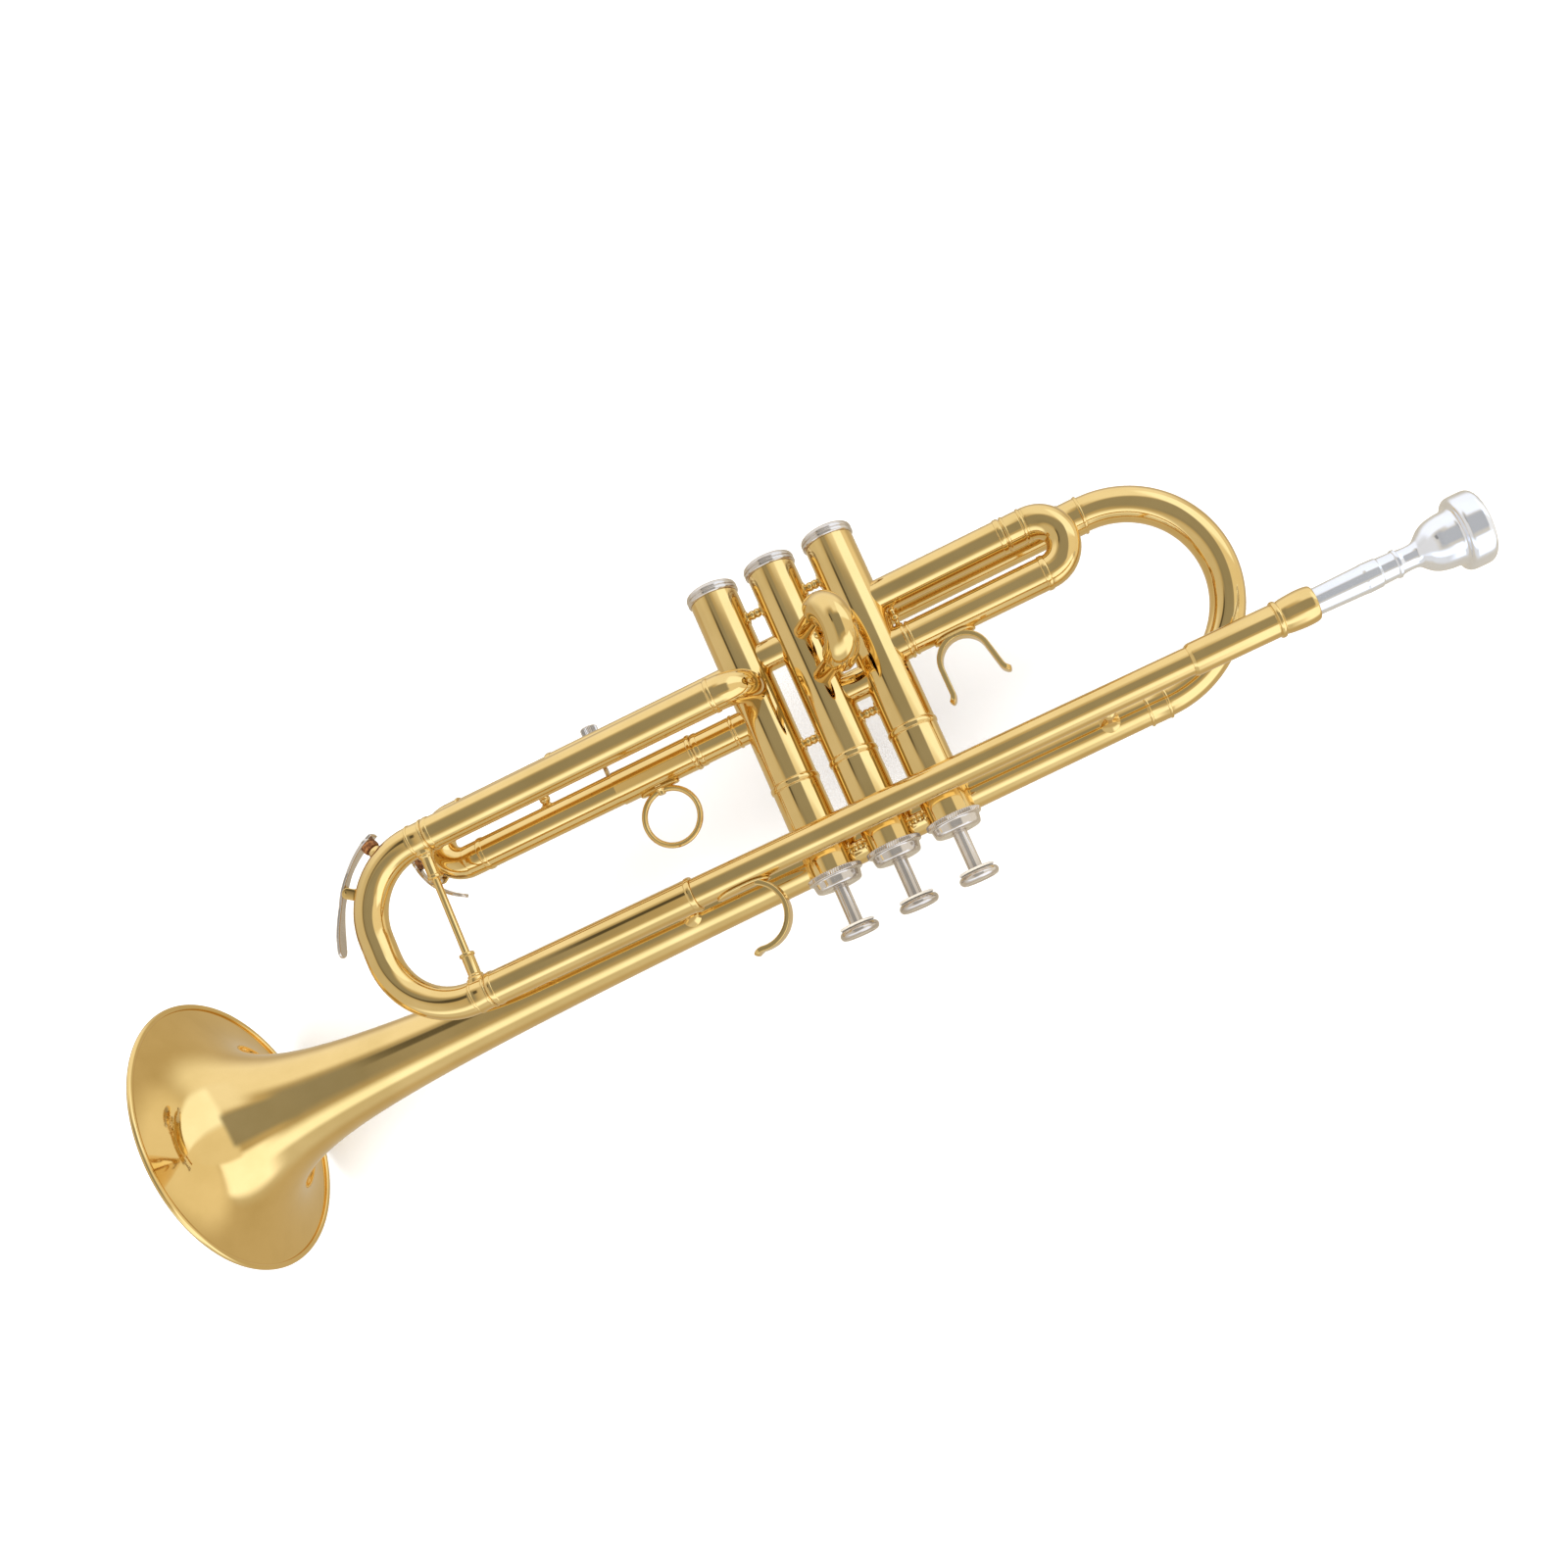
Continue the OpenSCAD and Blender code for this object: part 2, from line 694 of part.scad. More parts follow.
module valve_casing_1() { valve_casing(0); }
module valve_casing_2() { valve_casing(1); }
module valve_casing_3() { valve_casing(2); }

// Short turned braces between neighbouring casings, in three rows, and one between the first slide's tubes
module valve_braces() {
    rows = [brace_row_low - casing_low, -baluster_low - brace_row_mid, casing_top - brace_row_top];
    color("gold") {
        first_brace();
        for (i = [0, 1])
            for (y = rows)
                difference() {
                    at(valve_x(i), y, 0) along_x()
                        turned_brace(valve_pitch, brace_foot * 2, valve_pitch / 2, brace_rod, brace_foot - 1);
                    for (j = [i, i + 1])
                        on_valve(j) translate([0, 0, y - brace_foot])
                            cylinder(h = 2 * brace_foot, d = casing_d);
                }
    }
}

// A thin brace beside the first valve, from the slide's fixed sleeve to the collar of its upper leg
module first_brace() {
    foot_d = first_collar - stop_gap;
    x = first_x - (casing_d + first_collar) / 2;
    difference() {
        at(x, -first_low, 0) along_y()
            turned_brace(2 * first_r, foot_d, first_r - 1, foot_d / 2, foot_d);
        at(x - foot_d, -first_low, 0) along_x() cylinder(h = 2 * foot_d, d = sleeve_d);
        at(x - foot_d, -first_high, 0) along_x() cylinder(h = 2 * foot_d, d = ring_sleeve_d);
    }
}

module crossover_tubes() {
    color("gold") {
        crossover(0, -crossover_high);
        crossover(1, -crossover_low);
    }
}

// A tube from valve i to the next one at height y, scalloped where the second slide's sleeves pass
module crossover(i, y) {
    difference() {
        at(valve_x(i), y, 0) along_x() pipe(valve_pitch, tail_d, tube_bore);
        for (j = [i, i + 1])
            on_valve(j) translate([0, 0, y - tail_d]) cylinder(h = 2 * tail_d, d = casing_d);
        on_second()
            for (side = [-1, 1])
                translate([0, side * second_r, 0]) cylinder(h = second_stop, d = sleeve_d);
    }
}

module bottom_caps() {
    soft = 0.9;
    drain_d = 2.4;
    color("silver")
        for (i = VALVES)
            on_valve(i) translate([0, 0, -cap_face]) difference() {
                rotate_extrude()
                    polygon([
                        [0, 0.4],
                        [drain_d, 0],
                        [bottom_cap_d / 2 - 2 * soft, 0],
                        [bottom_cap_d / 2 - soft / 2, soft / 2],
                        [bottom_cap_d / 2, 2 * soft],
                        [bottom_cap_d / 2, cap_face - casing_low - soft / 2],
                        [bottom_cap_d / 2 - soft / 2, cap_face - casing_low],
                        [0, cap_face - casing_low],
                    ]);
                translate([0, 0, bottom_cap_floor]) cylinder(h = cap_face, d = spigot_d);
                translate([0, 0, -cut]) cylinder(h = cap_face, d = drain_d);
            }
}

module top_caps() {
    grip_h = 2.2;
    neck_d = stem_d + 0.8;
    color("silver")
        for (i = VALVES)
            on_valve(i) translate([0, 0, casing_top]) difference() {
                union() {
                    rotate_extrude()
                        polygon([
                            [0, 0],
                            [top_cap_d / 2 - 0.4, 0],
                            [top_cap_d / 2, 0.4],
                            [top_cap_d / 2, grip_h - 0.4],
                            [top_cap_d / 2 - 0.4, grip_h],
                            [casing_d / 2 + 0.3, grip_h],
                            [top_cap_face_d / 2 + 0.2, top_cap_h - 1],
                            [top_cap_face_d / 2 - 0.6, top_cap_h],
                            [0, top_cap_h],
                        ]);
                    translate([0, 0, -cap_spigot]) cylinder(h = cap_spigot + eps, d = casing_bore - 0.04);
                }
                translate([0, 0, -cap_spigot - cut]) cylinder(h = cap_spigot + 3, d = casing_bore - 3);
                translate([0, 0, -cut]) cylinder(h = top_cap_h + 2 * cut, d = neck_d);
            }
}

module valve_guides() {
    color("white")
        for (i = VALVES)
            on_valve(i) translate([0, 0, guide_low]) difference() {
                union() {
                    cylinder(h = guide_h, d = guide_d);
                    translate([-guide_ear_w / 2, -casing_bore / 2 - 0.4, 0])
                        cube([guide_ear_w, casing_bore + 0.8, guide_h]);
                }
                translate([0, 0, -cut]) cylinder(h = guide_h + 2 * cut, d = stem_d);
            }
}

// A straight passage of bore d between two ports of a piston
module passage(from, to, d) {
    p = port_point(from);
    q = port_point(to);
    way = q - p;
    turn = atan2(way[1], way[0]);
    tip = acos(way[2] / norm(way));
    translate(p) rotate([0, tip, turn])
        translate([0, 0, -d / 2]) cylinder(h = norm(way) + d, d = d);
}

function port_point(port) =
    let (r = piston_d / 2, turn = port[1] + asin(port[2] / r))
    [r * cos(turn), r * sin(turn), port[0]];

function lifted(port) = [port[0] + valve_stroke, port[1], port[2]];

// A piston at rest: the open way joins ports 2 and 3, and the pressed ways reach the slide
module piston(i) {
    ports = PORTS[i];
    low = -piston_top - piston_len;
    skin = 0.7;
    shaft_top = stem_top + button_h / 2;
    color("silver")
        on_valve(i) difference() {
            union() {
                translate([0, 0, low]) cylinder(h = piston_len, d = piston_d);
                translate([0, 0, -piston_top - eps])
                    cylinder(h = barrel_top + piston_top + eps, d = barrel_d);
                cylinder(h = shaft_top, d = stem_d);
            }
            translate([0, 0, -piston_top + eps])
                cylinder(h = barrel_top + piston_top - barrel_wall, d = barrel_d - 2 * barrel_wall);
            translate([-window_w / 2, -piston_d / 2, guide_low - 0.5])
                cube([window_w, piston_d, guide_h + valve_stroke + 1]);
            translate([0, 0, low - cut]) cylinder(h = 3 + cut, d = piston_d - 2 * skin);
            passage(ports[2], ports[3], passage_bore);
            passage(lifted(ports[2]), lifted(ports[1]), passage_bore);
            passage(lifted(ports[0]), lifted(ports[3]), passage_bore);
        }
}

module piston_1() { piston(0); }
module piston_2() { piston(1); }
module piston_3() { piston(2); }

// A coil of round wire between two heights, swept along a helix
module coil_spring(low, high, d, wire, turns) {
    sides = 6;
    per_turn = 14;
    rings = turns * per_turn;
    rise = high - low - wire;
    points = [
        for (k = [0:rings])
            for (s = [0:sides - 1])
                let (a = 360 * k / per_turn, b = 360 * s / sides, r = (d - wire + wire * cos(b)) / 2)
                [r * cos(a), r * sin(a), low + wire / 2 + rise * k / rings + wire * sin(b) / 2]
    ];
    walls = [
        for (k = [0:rings - 1])
            for (s = [0:sides - 1])
                let (n = (s + 1) % sides)
                [k * sides + s, k * sides + n, (k + 1) * sides + n, (k + 1) * sides + s]
    ];
    ends = [
        [for (s = [sides - 1:-1:0]) s],
        [for (s = [0:sides - 1]) rings * sides + s],
    ];
    polyhedron(points = points, faces = concat(walls, ends), convexity = turns);
}

module valve_spring(i) {
    color("silver")
        on_valve(i)
            coil_spring(guide_low + guide_h, barrel_top - barrel_wall, spring_d, spring_wire_d, spring_turns);
}

module valve_spring_1() { valve_spring(0); }
module valve_spring_2() { valve_spring(1); }
module valve_spring_3() { valve_spring(2); }

// The bumper over the barrel and the washer under the button
module valve_felts(i) {
    color("darkgreen")
        on_valve(i) {
            translate([0, 0, barrel_top]) pipe(bumper_h, barrel_d, stem_d);
            translate([0, 0, stem_top - felt_h]) pipe(felt_h, top_cap_face_d - 4, stem_d);
        }
}

module valve_felts_1() { valve_felts(0); }
module valve_felts_2() { valve_felts(1); }
module valve_felts_3() { valve_felts(2); }

module finger_button(i) {
    soft = 1;
    dish = 0.4;
    color("silver")
        on_valve(i) translate([0, 0, stem_top]) difference() {
            rotate_extrude()
                polygon([
                    [0, 0],
                    [button_d / 2 - 2 * soft, 0],
                    [button_d / 2 - soft / 3, soft],
                    [button_d / 2, button_h / 2],
                    [button_d / 2 - soft / 3, button_h - soft],
                    [button_d / 2 - soft, button_h - dish / 2],
                    [button_d / 2 - 2 * soft, button_h],
                    [button_d / 2 - 2.6 * soft, button_h - dish],
                    [button_d / 4, button_h - dish / 3],
                    [0, button_h - dish / 4],
                ]);
            translate([0, 0, -cut]) cylinder(h = button_h / 2 + cut, d = stem_d);
        }
}

module finger_button_1() { finger_button(0); }
module finger_button_2() { finger_button(1); }
module finger_button_3() { finger_button(2); }

// ---------- first slide ----------

first_r = (first_low - first_high) / 2;
first_collar = 3.5;

module first_slide_sleeves() {
    sleeve_len = first_sleeve_back + first_x;
    inner_len = first_sleeve_back + first_x + bead_len;
    color("gold")
        difference() {
            union() {
                at(first_x, -first_low, 0) along_back() beaded_pipe(sleeve_len, sleeve_d, sleeve_bore);
                at(first_x, -first_high, 0) along_back() {
                    pipe(inner_len, leg_d, tube_bore);
                    pipe(casing_d / 2 + first_collar, ring_sleeve_d, tube_bore);
                }
            }
            on_valve(0) translate([0, 0, -casing_low]) cylinder(h = casing_low, d = casing_d);
        }
}

module first_slide_legs() {
    bow = first_bow_back + first_x;
    sleeve_start = casing_d / 2 + first_collar + stop_gap;
    color("gold") {
        at(first_x, -first_low, 0) along_back() {
            translate([0, 0, leg_start]) pipe(bow - leg_start, leg_d, tube_bore);
            translate([0, 0, first_sleeve_back + first_x + stop_gap])
                pipe(first_bow_back - first_sleeve_back - stop_gap, sleeve_d, leg_d - eps);
        }
        at(first_x, -first_high, 0) along_back()
            translate([0, 0, sleeve_start]) beaded_pipe(bow - sleeve_start, sleeve_d, sleeve_bore);
    }
}

module first_slide_bow() {
    color("gold")
        at(-first_bow_back, -(first_low + first_high) / 2, 0)
            rotate([0, 0, 180]) u_bow(first_r, sleeve_d, tube_bore);
}

// A strip bent to a U on the slide's upper leg, with a curl at the tip of each arm
module thumb_saddle() {
    seat = 0.7;
    curve_y = -first_high + sleeve_d / 2 + strip_h + saddle_r - seat;
    foot_len = 17;
    color("gold")
        difference() {
            union() {
                at(-saddle_back, curve_y, 0) {
                    rotate([0, 0, 180]) strip_arc(saddle_r, 180);
                    saddle_arm_piece();
                    mirror([1, 0, 0]) saddle_arm_piece();
                }
                at(-saddle_back - foot_len / 2, -first_high, 0)
                    along_x() saddle_foot(foot_len, sleeve_d, strip_w + 1);
            }
            at(-saddle_back - foot_len, -first_high, 0)
                along_x() cylinder(h = 2 * foot_len, d = sleeve_d);
        }
}

// One arm of the thumb saddle, rising along +Y from the end of its curve, with the tip curled outwards
module saddle_arm_piece() {
    translate([saddle_r, 0, -strip_w / 2]) cube([strip_h, saddle_arm, strip_w]);
    translate([saddle_r + strip_h + curl_r, saddle_arm, 0])
        rotate([0, 0, 180 - curl_sweep]) strip_arc(curl_r, curl_sweep);
}

// ---------- second slide ----------

second_r = (second_low - second_high) / 2;
second_bow = second_stop + stop_gap + second_ferrule;

module second_slide_sleeves() {
    color("gold")
        difference() {
            on_second()
                for (side = [-1, 1])
                    translate([0, side * second_r, 0]) beaded_pipe(second_stop, sleeve_d, sleeve_bore);
            on_valve(1) translate([0, 0, -casing_low]) cylinder(h = casing_low, d = casing_d);
        }
}

// The pull knob: a bar across the bow's mouth with a ball on a post beside it
module second_slide_knob() {
    bar_z = second_bow + brace_rod / 2;
    color("gold")
        on_second() difference() {
            translate([0, 0, bar_z]) {
                translate([0, -second_r, 0]) along_y() cylinder(h = 2 * second_r, d = brace_rod);
                along_x() cylinder(h = knob_out, d = brace_rod - 0.8);
                translate([knob_out, 0, 0]) sphere(d = knob_d);
            }
            translate([0, 0, second_bow]) rotate([0, -90, 0]) bow_solid(second_r, sleeve_d);
        }
}

module second_slide_legs() {
    color("gold")
        on_second()
            for (side = [-1, 1])
                translate([0, side * second_r, leg_start]) {
                    pipe(second_bow - leg_start, leg_d, tube_bore);
                    translate([0, 0, second_stop + stop_gap - leg_start])
                        pipe(second_bow - second_stop - stop_gap, sleeve_d, leg_d - eps);
                }
}

module second_slide_bow() {
    color("gold")
        on_second() translate([0, 0, second_bow])
            rotate([0, -90, 0]) u_bow(second_r, sleeve_d, tube_bore);
}

// ---------- third slide ----------

third_r = (third_low - third_high) / 2;
third_joint_x = third_bow_x - third_ferrule;

module third_slide_sleeves() {
    color("gold")
        difference() {
            union() {
                at(third_x, -third_low, 0) along_x()
                    beaded_pipe(third_sleeve_x - third_x, sleeve_d, sleeve_bore);
                at(third_x, -third_high, 0) along_x() {
                    pipe(third_joint_x - third_x - 10, leg_d, tube_bore);
                    beaded_pipe(third_short_x - third_x, sleeve_d, leg_d - eps);
                }
            }
            on_valve(2) translate([0, 0, -casing_low]) cylinder(h = casing_low, d = casing_d);
        }
}

module third_slide_legs() {
    start = third_short_x + stop_gap;
    color("gold") {
        at(third_x + leg_start, -third_low, 0) along_x()
            pipe(third_bow_x - third_x - leg_start, leg_d, tube_bore);
        at(third_joint_x, -third_low, 0) along_x() difference() {
            union() {
                cylinder(h = third_ferrule, d = sleeve_d);
                bead(sleeve_d, bead_len / 2);
            }
            translate([0, 0, -cut]) cylinder(h = third_ferrule + 2 * cut, d = leg_d - eps);
        }
        at(start, -third_high, 0) along_x() {
            beaded_pipe(third_joint_x - start, sleeve_d, sleeve_bore);
            pipe(ring_sleeve_x - start, ring_sleeve_d, sleeve_bore);
            translate([0, 0, third_joint_x - start])
                pipe(third_bow_x - third_joint_x, sleeve_d, tube_bore);
        }
    }
}

module third_slide_bow() {
    color("gold")
        at(third_bow_x, -(third_low + third_high) / 2, 0) difference() {
            u_bow(third_r, sleeve_d, tube_bore);
            nipple_hole(THIRD_KEY);
        }
}

module third_slide_brace() {
    color("gold")
        difference() {
            at(third_brace_x, -third_low, 0) along_y()
                turned_brace(2 * third_r, brace_foot, third_r - 1, brace_rod, brace_rod + 1);
            at(third_brace_x - brace_foot, -third_low, 0) along_x() cylinder(h = 2 * brace_foot, d = leg_d);
            at(third_brace_x - brace_foot, -third_high, 0) along_x() cylinder(h = 2 * brace_foot, d = sleeve_d);
        }
}

module third_slide_ring() {
    ring_y = -third_high + ring_sleeve_d / 2 + ring_wire + ring_bore / 2;
    foot_len = 17;
    color("gold")
        difference() {
            union() {
                at(ring_x, ring_y, 0)
                    rotate_extrude() translate([(ring_bore + ring_wire) / 2, 0]) circle(d = ring_wire, $fn = 32);
                at(ring_x - foot_len / 2, -third_high, 0)
                    along_x() saddle_foot(foot_len, ring_sleeve_d, ring_wire + 2);
                at(ring_x, -third_high, 0) along_y()
                    cylinder(h = ring_sleeve_d / 2 + ring_wire, d = ring_wire * 1.5);
            }
            at(ring_x - foot_len, -third_high, 0) along_x() cylinder(h = 2 * foot_len, d = ring_sleeve_d);
        }
}

// ---------- thumb screw on the third slide's long sleeve ----------

post_w = 9;
screw_side = -sleeve_d / 2 - 2.6;
screw_top = -third_high - sleeve_d / 2 - 1;

module screw_post() {
    color("silver")
        difference() {
            at(screw_x - post_w / 2, -third_low - post_w / 2, screw_side - 2.6)
                cube([post_w, post_w, -screw_side + 2.6]);
            at(screw_x - post_w, -third_low, 0) along_x() cylinder(h = 2 * post_w, d = sleeve_d);
            at(screw_x, -third_low - post_w, screw_side) along_y()
                cylinder(h = 2 * post_w, d = thumb_shank_d + 2 * pivot_fit);
            at(screw_x - post_w, -third_low - post_w, -sleeve_d / 4) cube([2 * post_w, 2 * post_w, sleeve_d]);
        }
}

module thumb_screw() {
    head_h = 4.6;
    head_low = -third_low - sleeve_d / 2 - head_h - 1;
    color("silver")
        at(screw_x, head_low, screw_side) along_y() {
            rotate_extrude()
                polygon([
                    [0, 0],
                    [thumb_head_d / 2 - 0.6, 0],
                    [thumb_head_d / 2, 0.6],
                    [thumb_head_d / 2, head_h - 0.6],
                    [thumb_head_d / 2 - 0.6, head_h],
                    [0, head_h],
                ]);
            cylinder(h = screw_top - head_low, d = thumb_shank_d);
        }
}

// ---------- main tuning slide ----------

module tuning_slide_legs() {
    start = tuning_stop - tuning_engage;
    color("gold")
        for (y = [-lead_drop, -tuning_low])
            at(start, y, lead_side) along_x() {
                pipe(tuning_bow_x - start, leg_d, tube_bore);
                translate([0, 0, tuning_engage + stop_gap])
                    pipe(tuning_bow_x - tuning_stop - stop_gap, sleeve_d, leg_d - eps);
            }
}

tuning_half = (tuning_low - lead_drop) / 2;
tuning_mid = -(tuning_low + lead_drop) / 2;
tuning_flat = tuning_half - tuning_bow_r;

module tuning_slide_bow() {
    color("gold")
        difference() {
            at(tuning_bow_x, tuning_mid, lead_side) {
                for (side = [-1, 1])
                    translate([0, side * tuning_flat, 0])
                        rotate([0, 0, side < 0 ? -90 : 0]) bend(tuning_bow_r, 90, sleeve_d, tube_bore);
                translate([tuning_bow_r, -tuning_flat, 0])
                    along_y() pipe(2 * tuning_flat, sleeve_d, tube_bore);
            }
            at(tuning_bow_x, tuning_mid - tuning_flat, lead_side) nipple_hole(MAIN_KEY);
        }
}

// A thin rod between two sockets, each with a ring at its foot and at its mouth
module tuning_slide_brace() {
    brace_x = tuning_bow_x - tuning_brace_back;
    socket_d = brace_rod + 2;
    socket_len = sleeve_d / 2 + 10.5;
    ring_h = 1.4;
    color("gold")
        difference() {
            at(brace_x, -tuning_low, lead_side) along_y()
                for (turn = [0, 1])
                    translate([0, 0, 2 * tuning_half * turn]) mirror([0, 0, turn]) {
                        cylinder(h = tuning_half, d = brace_rod);
                        cylinder(h = socket_len, d = socket_d);
                        translate([0, 0, socket_len - ring_h]) cylinder(h = ring_h, d = socket_d + 1);
                        cylinder(h = sleeve_d / 2 + ring_h, d = brace_foot + 1);
                    }
            for (y = [-lead_drop, -tuning_low])
                at(brace_x - brace_foot, y, lead_side) along_x() cylinder(h = 2 * brace_foot, d = sleeve_d);
        }
}

// ---------- water keys ----------
// A key lies round the outside of a bow's bend, in the plane of the bow. Angles are about the bend's
// centre: [bend radius, angle of the cork, angle of the pivot, radius of the finger arm, sweep of that arm].

MAIN_KEY = [tuning_bow_r, -64, -34, 75, 18];
THIRD_KEY = [third_r, 2, 34, 29, 26];
key_gap = lever_w + 2 * lever_side_fit;
hub_w = lever_w / 2;
function key_skin(key) = key[0] + sleeve_d / 2;
function lever_r(key) = key_skin(key) + nipple_h + cork_h + lever_h;
function pivot_r(key) = key_skin(key) + nipple_h + cork_h - pivot_d - 0.2;

// Places the parts of a key about its bend's centre
module on_main_key() {
    at(tuning_bow_x, tuning_mid - tuning_flat, lead_side) children();
}

module on_third_key() {
    at(third_bow_x, -(third_low + third_high) / 2, 0) children();
}

module nipple_hole(key) {
    rotate([0, 0, key[1]]) translate([key[0], 0, 0]) along_x() cylinder(h = sleeve_d, d = nipple_bore);
}

// The nipple under the cork, the two ears and the pivot screw through them
module key_saddle(key) {
    ear = 1.4;
    ear_len = 4.6;
    head_h = 0.8;
    difference() {
        union() {
            rotate([0, 0, key[1]]) translate([key[0], 0, 0])
                along_x() cylinder(h = sleeve_d / 2 + nipple_h, d1 = nipple_bore + 4, d2 = nipple_bore + 2);
            rotate([0, 0, key[2]])
                for (side = [-1, 1])
                    translate([key[0], -ear_len / 2, side * (key_gap + ear) / 2 - ear / 2])
                        cube([pivot_r(key) - key[0] + pivot_d, ear_len, ear]);
        }
        nipple_hole(key);
        rotate_extrude($fn = 128) translate([key[0], 0]) circle(d = sleeve_d);
        rotate([0, 0, key[2]]) translate([pivot_r(key), 0, -key_gap])
            cylinder(h = 2 * key_gap, d = pivot_d);
    }
    rotate([0, 0, key[2]]) translate([pivot_r(key), 0, -key_gap / 2 - ear]) {
        cylinder(h = key_gap + 2 * ear, d = pivot_d);
        translate([0, 0, key_gap + 2 * ear]) cylinder(h = head_h, d = pivot_d + 1.2);
    }
}

// The curved arm over the cork, the hub on the pivot screw and the finger arm with its round end
module key_lever(key) {
    inner = lever_r(key) - lever_h;
    over = atan((cork_d / 2 + 1.2) / inner);
    pad_d = lever_w + 1.6;
    pad_set = 0.2;
    pad_h = lever_h - 2 * pad_set;
    difference() {
        union() {
            rotate([0, 0, key[1] - over])
                rotate_extrude(angle = key[2] - key[1] + over, $fn = 128)
                    translate([inner + pad_set, -lever_w / 2]) square([lever_h - pad_set, lever_w]);
            rotate([0, 0, key[2]]) translate([lever_r(key) - key[3], 0, 0]) {
                rotate_extrude(angle = key[4], $fn = 128)
                    translate([key[3] - lever_h + pad_set, -lever_w / 2])
                        square([lever_h - pad_set, lever_w]);
                rotate([0, 0, key[4]]) translate([key[3] - lever_h, 0, 0])
                    along_x() cylinder(h = pad_h, d = pad_d);
            }
            rotate([0, 0, key[1]]) translate([inner, 0, 0]) along_x() cylinder(h = pad_h, d = cork_d);
            rotate([0, 0, key[2]]) translate([pivot_r(key), 0, -lever_w / 2]) {
                cylinder(h = hub_w, d = pivot_d + 1.8);
                translate([0, -1, 0]) cube([inner + lever_h / 2 - pivot_r(key), 2, hub_w]);
            }
        }
        rotate([0, 0, key[2]]) translate([pivot_r(key), 0, -lever_w])
            cylinder(h = 2 * lever_w, d = pivot_d + 2 * pivot_fit);
    }
}

module key_cork(key) {
    rotate([0, 0, key[1]]) translate([key_skin(key) + nipple_h + eps, 0, 0])
        along_x() cylinder(h = cork_h - 2 * eps, d = cork_d - 0.6);
}

// The spring coiled round the pivot screw, beside the lever's hub
module key_spring(key) {
    low = hub_w - lever_w / 2 + lever_side_fit;
    rotate([0, 0, key[2]]) translate([pivot_r(key), 0, 0])
        coil_spring(low, key_gap / 2, pivot_d + 2 * (key_wire + pivot_fit), key_wire, 4);
}

module water_key_saddle() {
    color("gold") on_main_key() key_saddle(MAIN_KEY);
}

module water_key_lever() {
    color("silver") on_main_key() key_lever(MAIN_KEY);
}

module water_key_cork() {
    color("saddlebrown") on_main_key() key_cork(MAIN_KEY);
}

module water_key_spring() {
    color("silver") on_main_key() key_spring(MAIN_KEY);
}

module third_key_saddle() {
    color("gold") on_third_key() key_saddle(THIRD_KEY);
}

module third_key_lever() {
    color("silver") on_third_key() key_lever(THIRD_KEY);
}

module third_key_cork() {
    color("saddlebrown") on_third_key() key_cork(THIRD_KEY);
}

module third_key_spring() {
    color("silver") on_third_key() key_spring(THIRD_KEY);
}

// ---------- mouthpiece ----------

module mouthpiece() {
    color("silver")
        at(mouth_x, -lead_drop, lead_side) along_x()
            difference() {
                rotate_extrude($fn = 96) polygon(mouth_outline());
                rotate_extrude($fn = 96) polygon(cup_outline());
                translate([0, 0, cup_depth - eps]) cylinder(h = mouthpiece_len, d = throat_d);
                translate([0, 0, cup_depth + 8])
                    cylinder(h = mouthpiece_len - cup_depth - 8 + eps, d1 = throat_d, d2 = shank_tip_d - 1.6);
            }
}

// Outside of the mouthpiece from the rim to the shank's tip, as [radius, distance]
function mouth_outline() =
    let (r = mouth_rim_d / 2, shoulder = mouthpiece_len - shank_depth)
    [
        [0, 0.9],
        [mouth_cup_d / 2, 0.9],
        [mouth_cup_d / 2 + 1, 0.25],
        [(r + mouth_cup_d / 2) / 2, 0],
        [r - 1.4, 0.3],
        [r - 0.5, 1],
        [r, 2.2],
        [r, 7.6],
        [r - 0.4, 8.6],
        [r - 1, 9.4],
        [r - 2.6, 9.6],
        [r - 3.3, 10.6],
        [r - 3.5, 13],
        [r - 4.2, 16],
        [r - 5.6, 19],
        [r - 7.4, 21.4],
        [r - 9, 22.8],
        [4.6, 24],
        [4.3, 27],
        [4.7, 30.2],
        [5.2, 31],
        [5.2, 31.8],
        [4.8, 32.2],
        [5, 37.6],
        [5.3, 38.2],
        [5.5, 43],
        [5.3, 44],
        [shank_mouth_d / 2 - shank_fit, shoulder],
        [shank_tip_d / 2, mouthpiece_len],
        [0, mouthpiece_len],
    ];

// The cup: a bowl that narrows to the throat
function cup_outline() =
    concat(
        [[0, -cut], [mouth_cup_d / 2 + 1, -cut], [mouth_cup_d / 2 + 1, 0.2]],
        [
            for (k = [0:12])
                let (a = 90 * k / 12)
                [
                    max(throat_d / 2, mouth_cup_d / 2 * cos(a)),
                    0.9 + (cup_depth - 0.9) * sin(a),
                ]
        ],
        [[0, cup_depth]]
    );

bell();
bell_rim_wire();
bell_bow();
bell_tail();
bell_ferrules();
bell_braces();
leadpipe();
mouthpiece_receiver();
leadpipe_sleeve();
finger_hook();
lower_sleeve();
valve_casing_1();
valve_casing_2();
valve_casing_3();
valve_braces();
crossover_tubes();
bottom_caps();
top_caps();
valve_guides();
piston_1();
piston_2();
piston_3();
valve_spring_1();
valve_spring_2();
valve_spring_3();
valve_felts_1();
valve_felts_2();
valve_felts_3();
finger_button_1();
finger_button_2();
finger_button_3();
first_slide_sleeves();
second_slide_sleeves();
third_slide_sleeves();
screw_post();
thumb_screw();
tuning_slide_legs();
tuning_slide_bow();
tuning_slide_brace();
water_key_saddle();
water_key_lever();
water_key_cork();
water_key_spring();
first_slide_legs();
first_slide_bow();
thumb_saddle();
second_slide_legs();
second_slide_bow();
second_slide_knob();
third_slide_legs();
third_slide_bow();
third_slide_brace();
third_slide_ring();
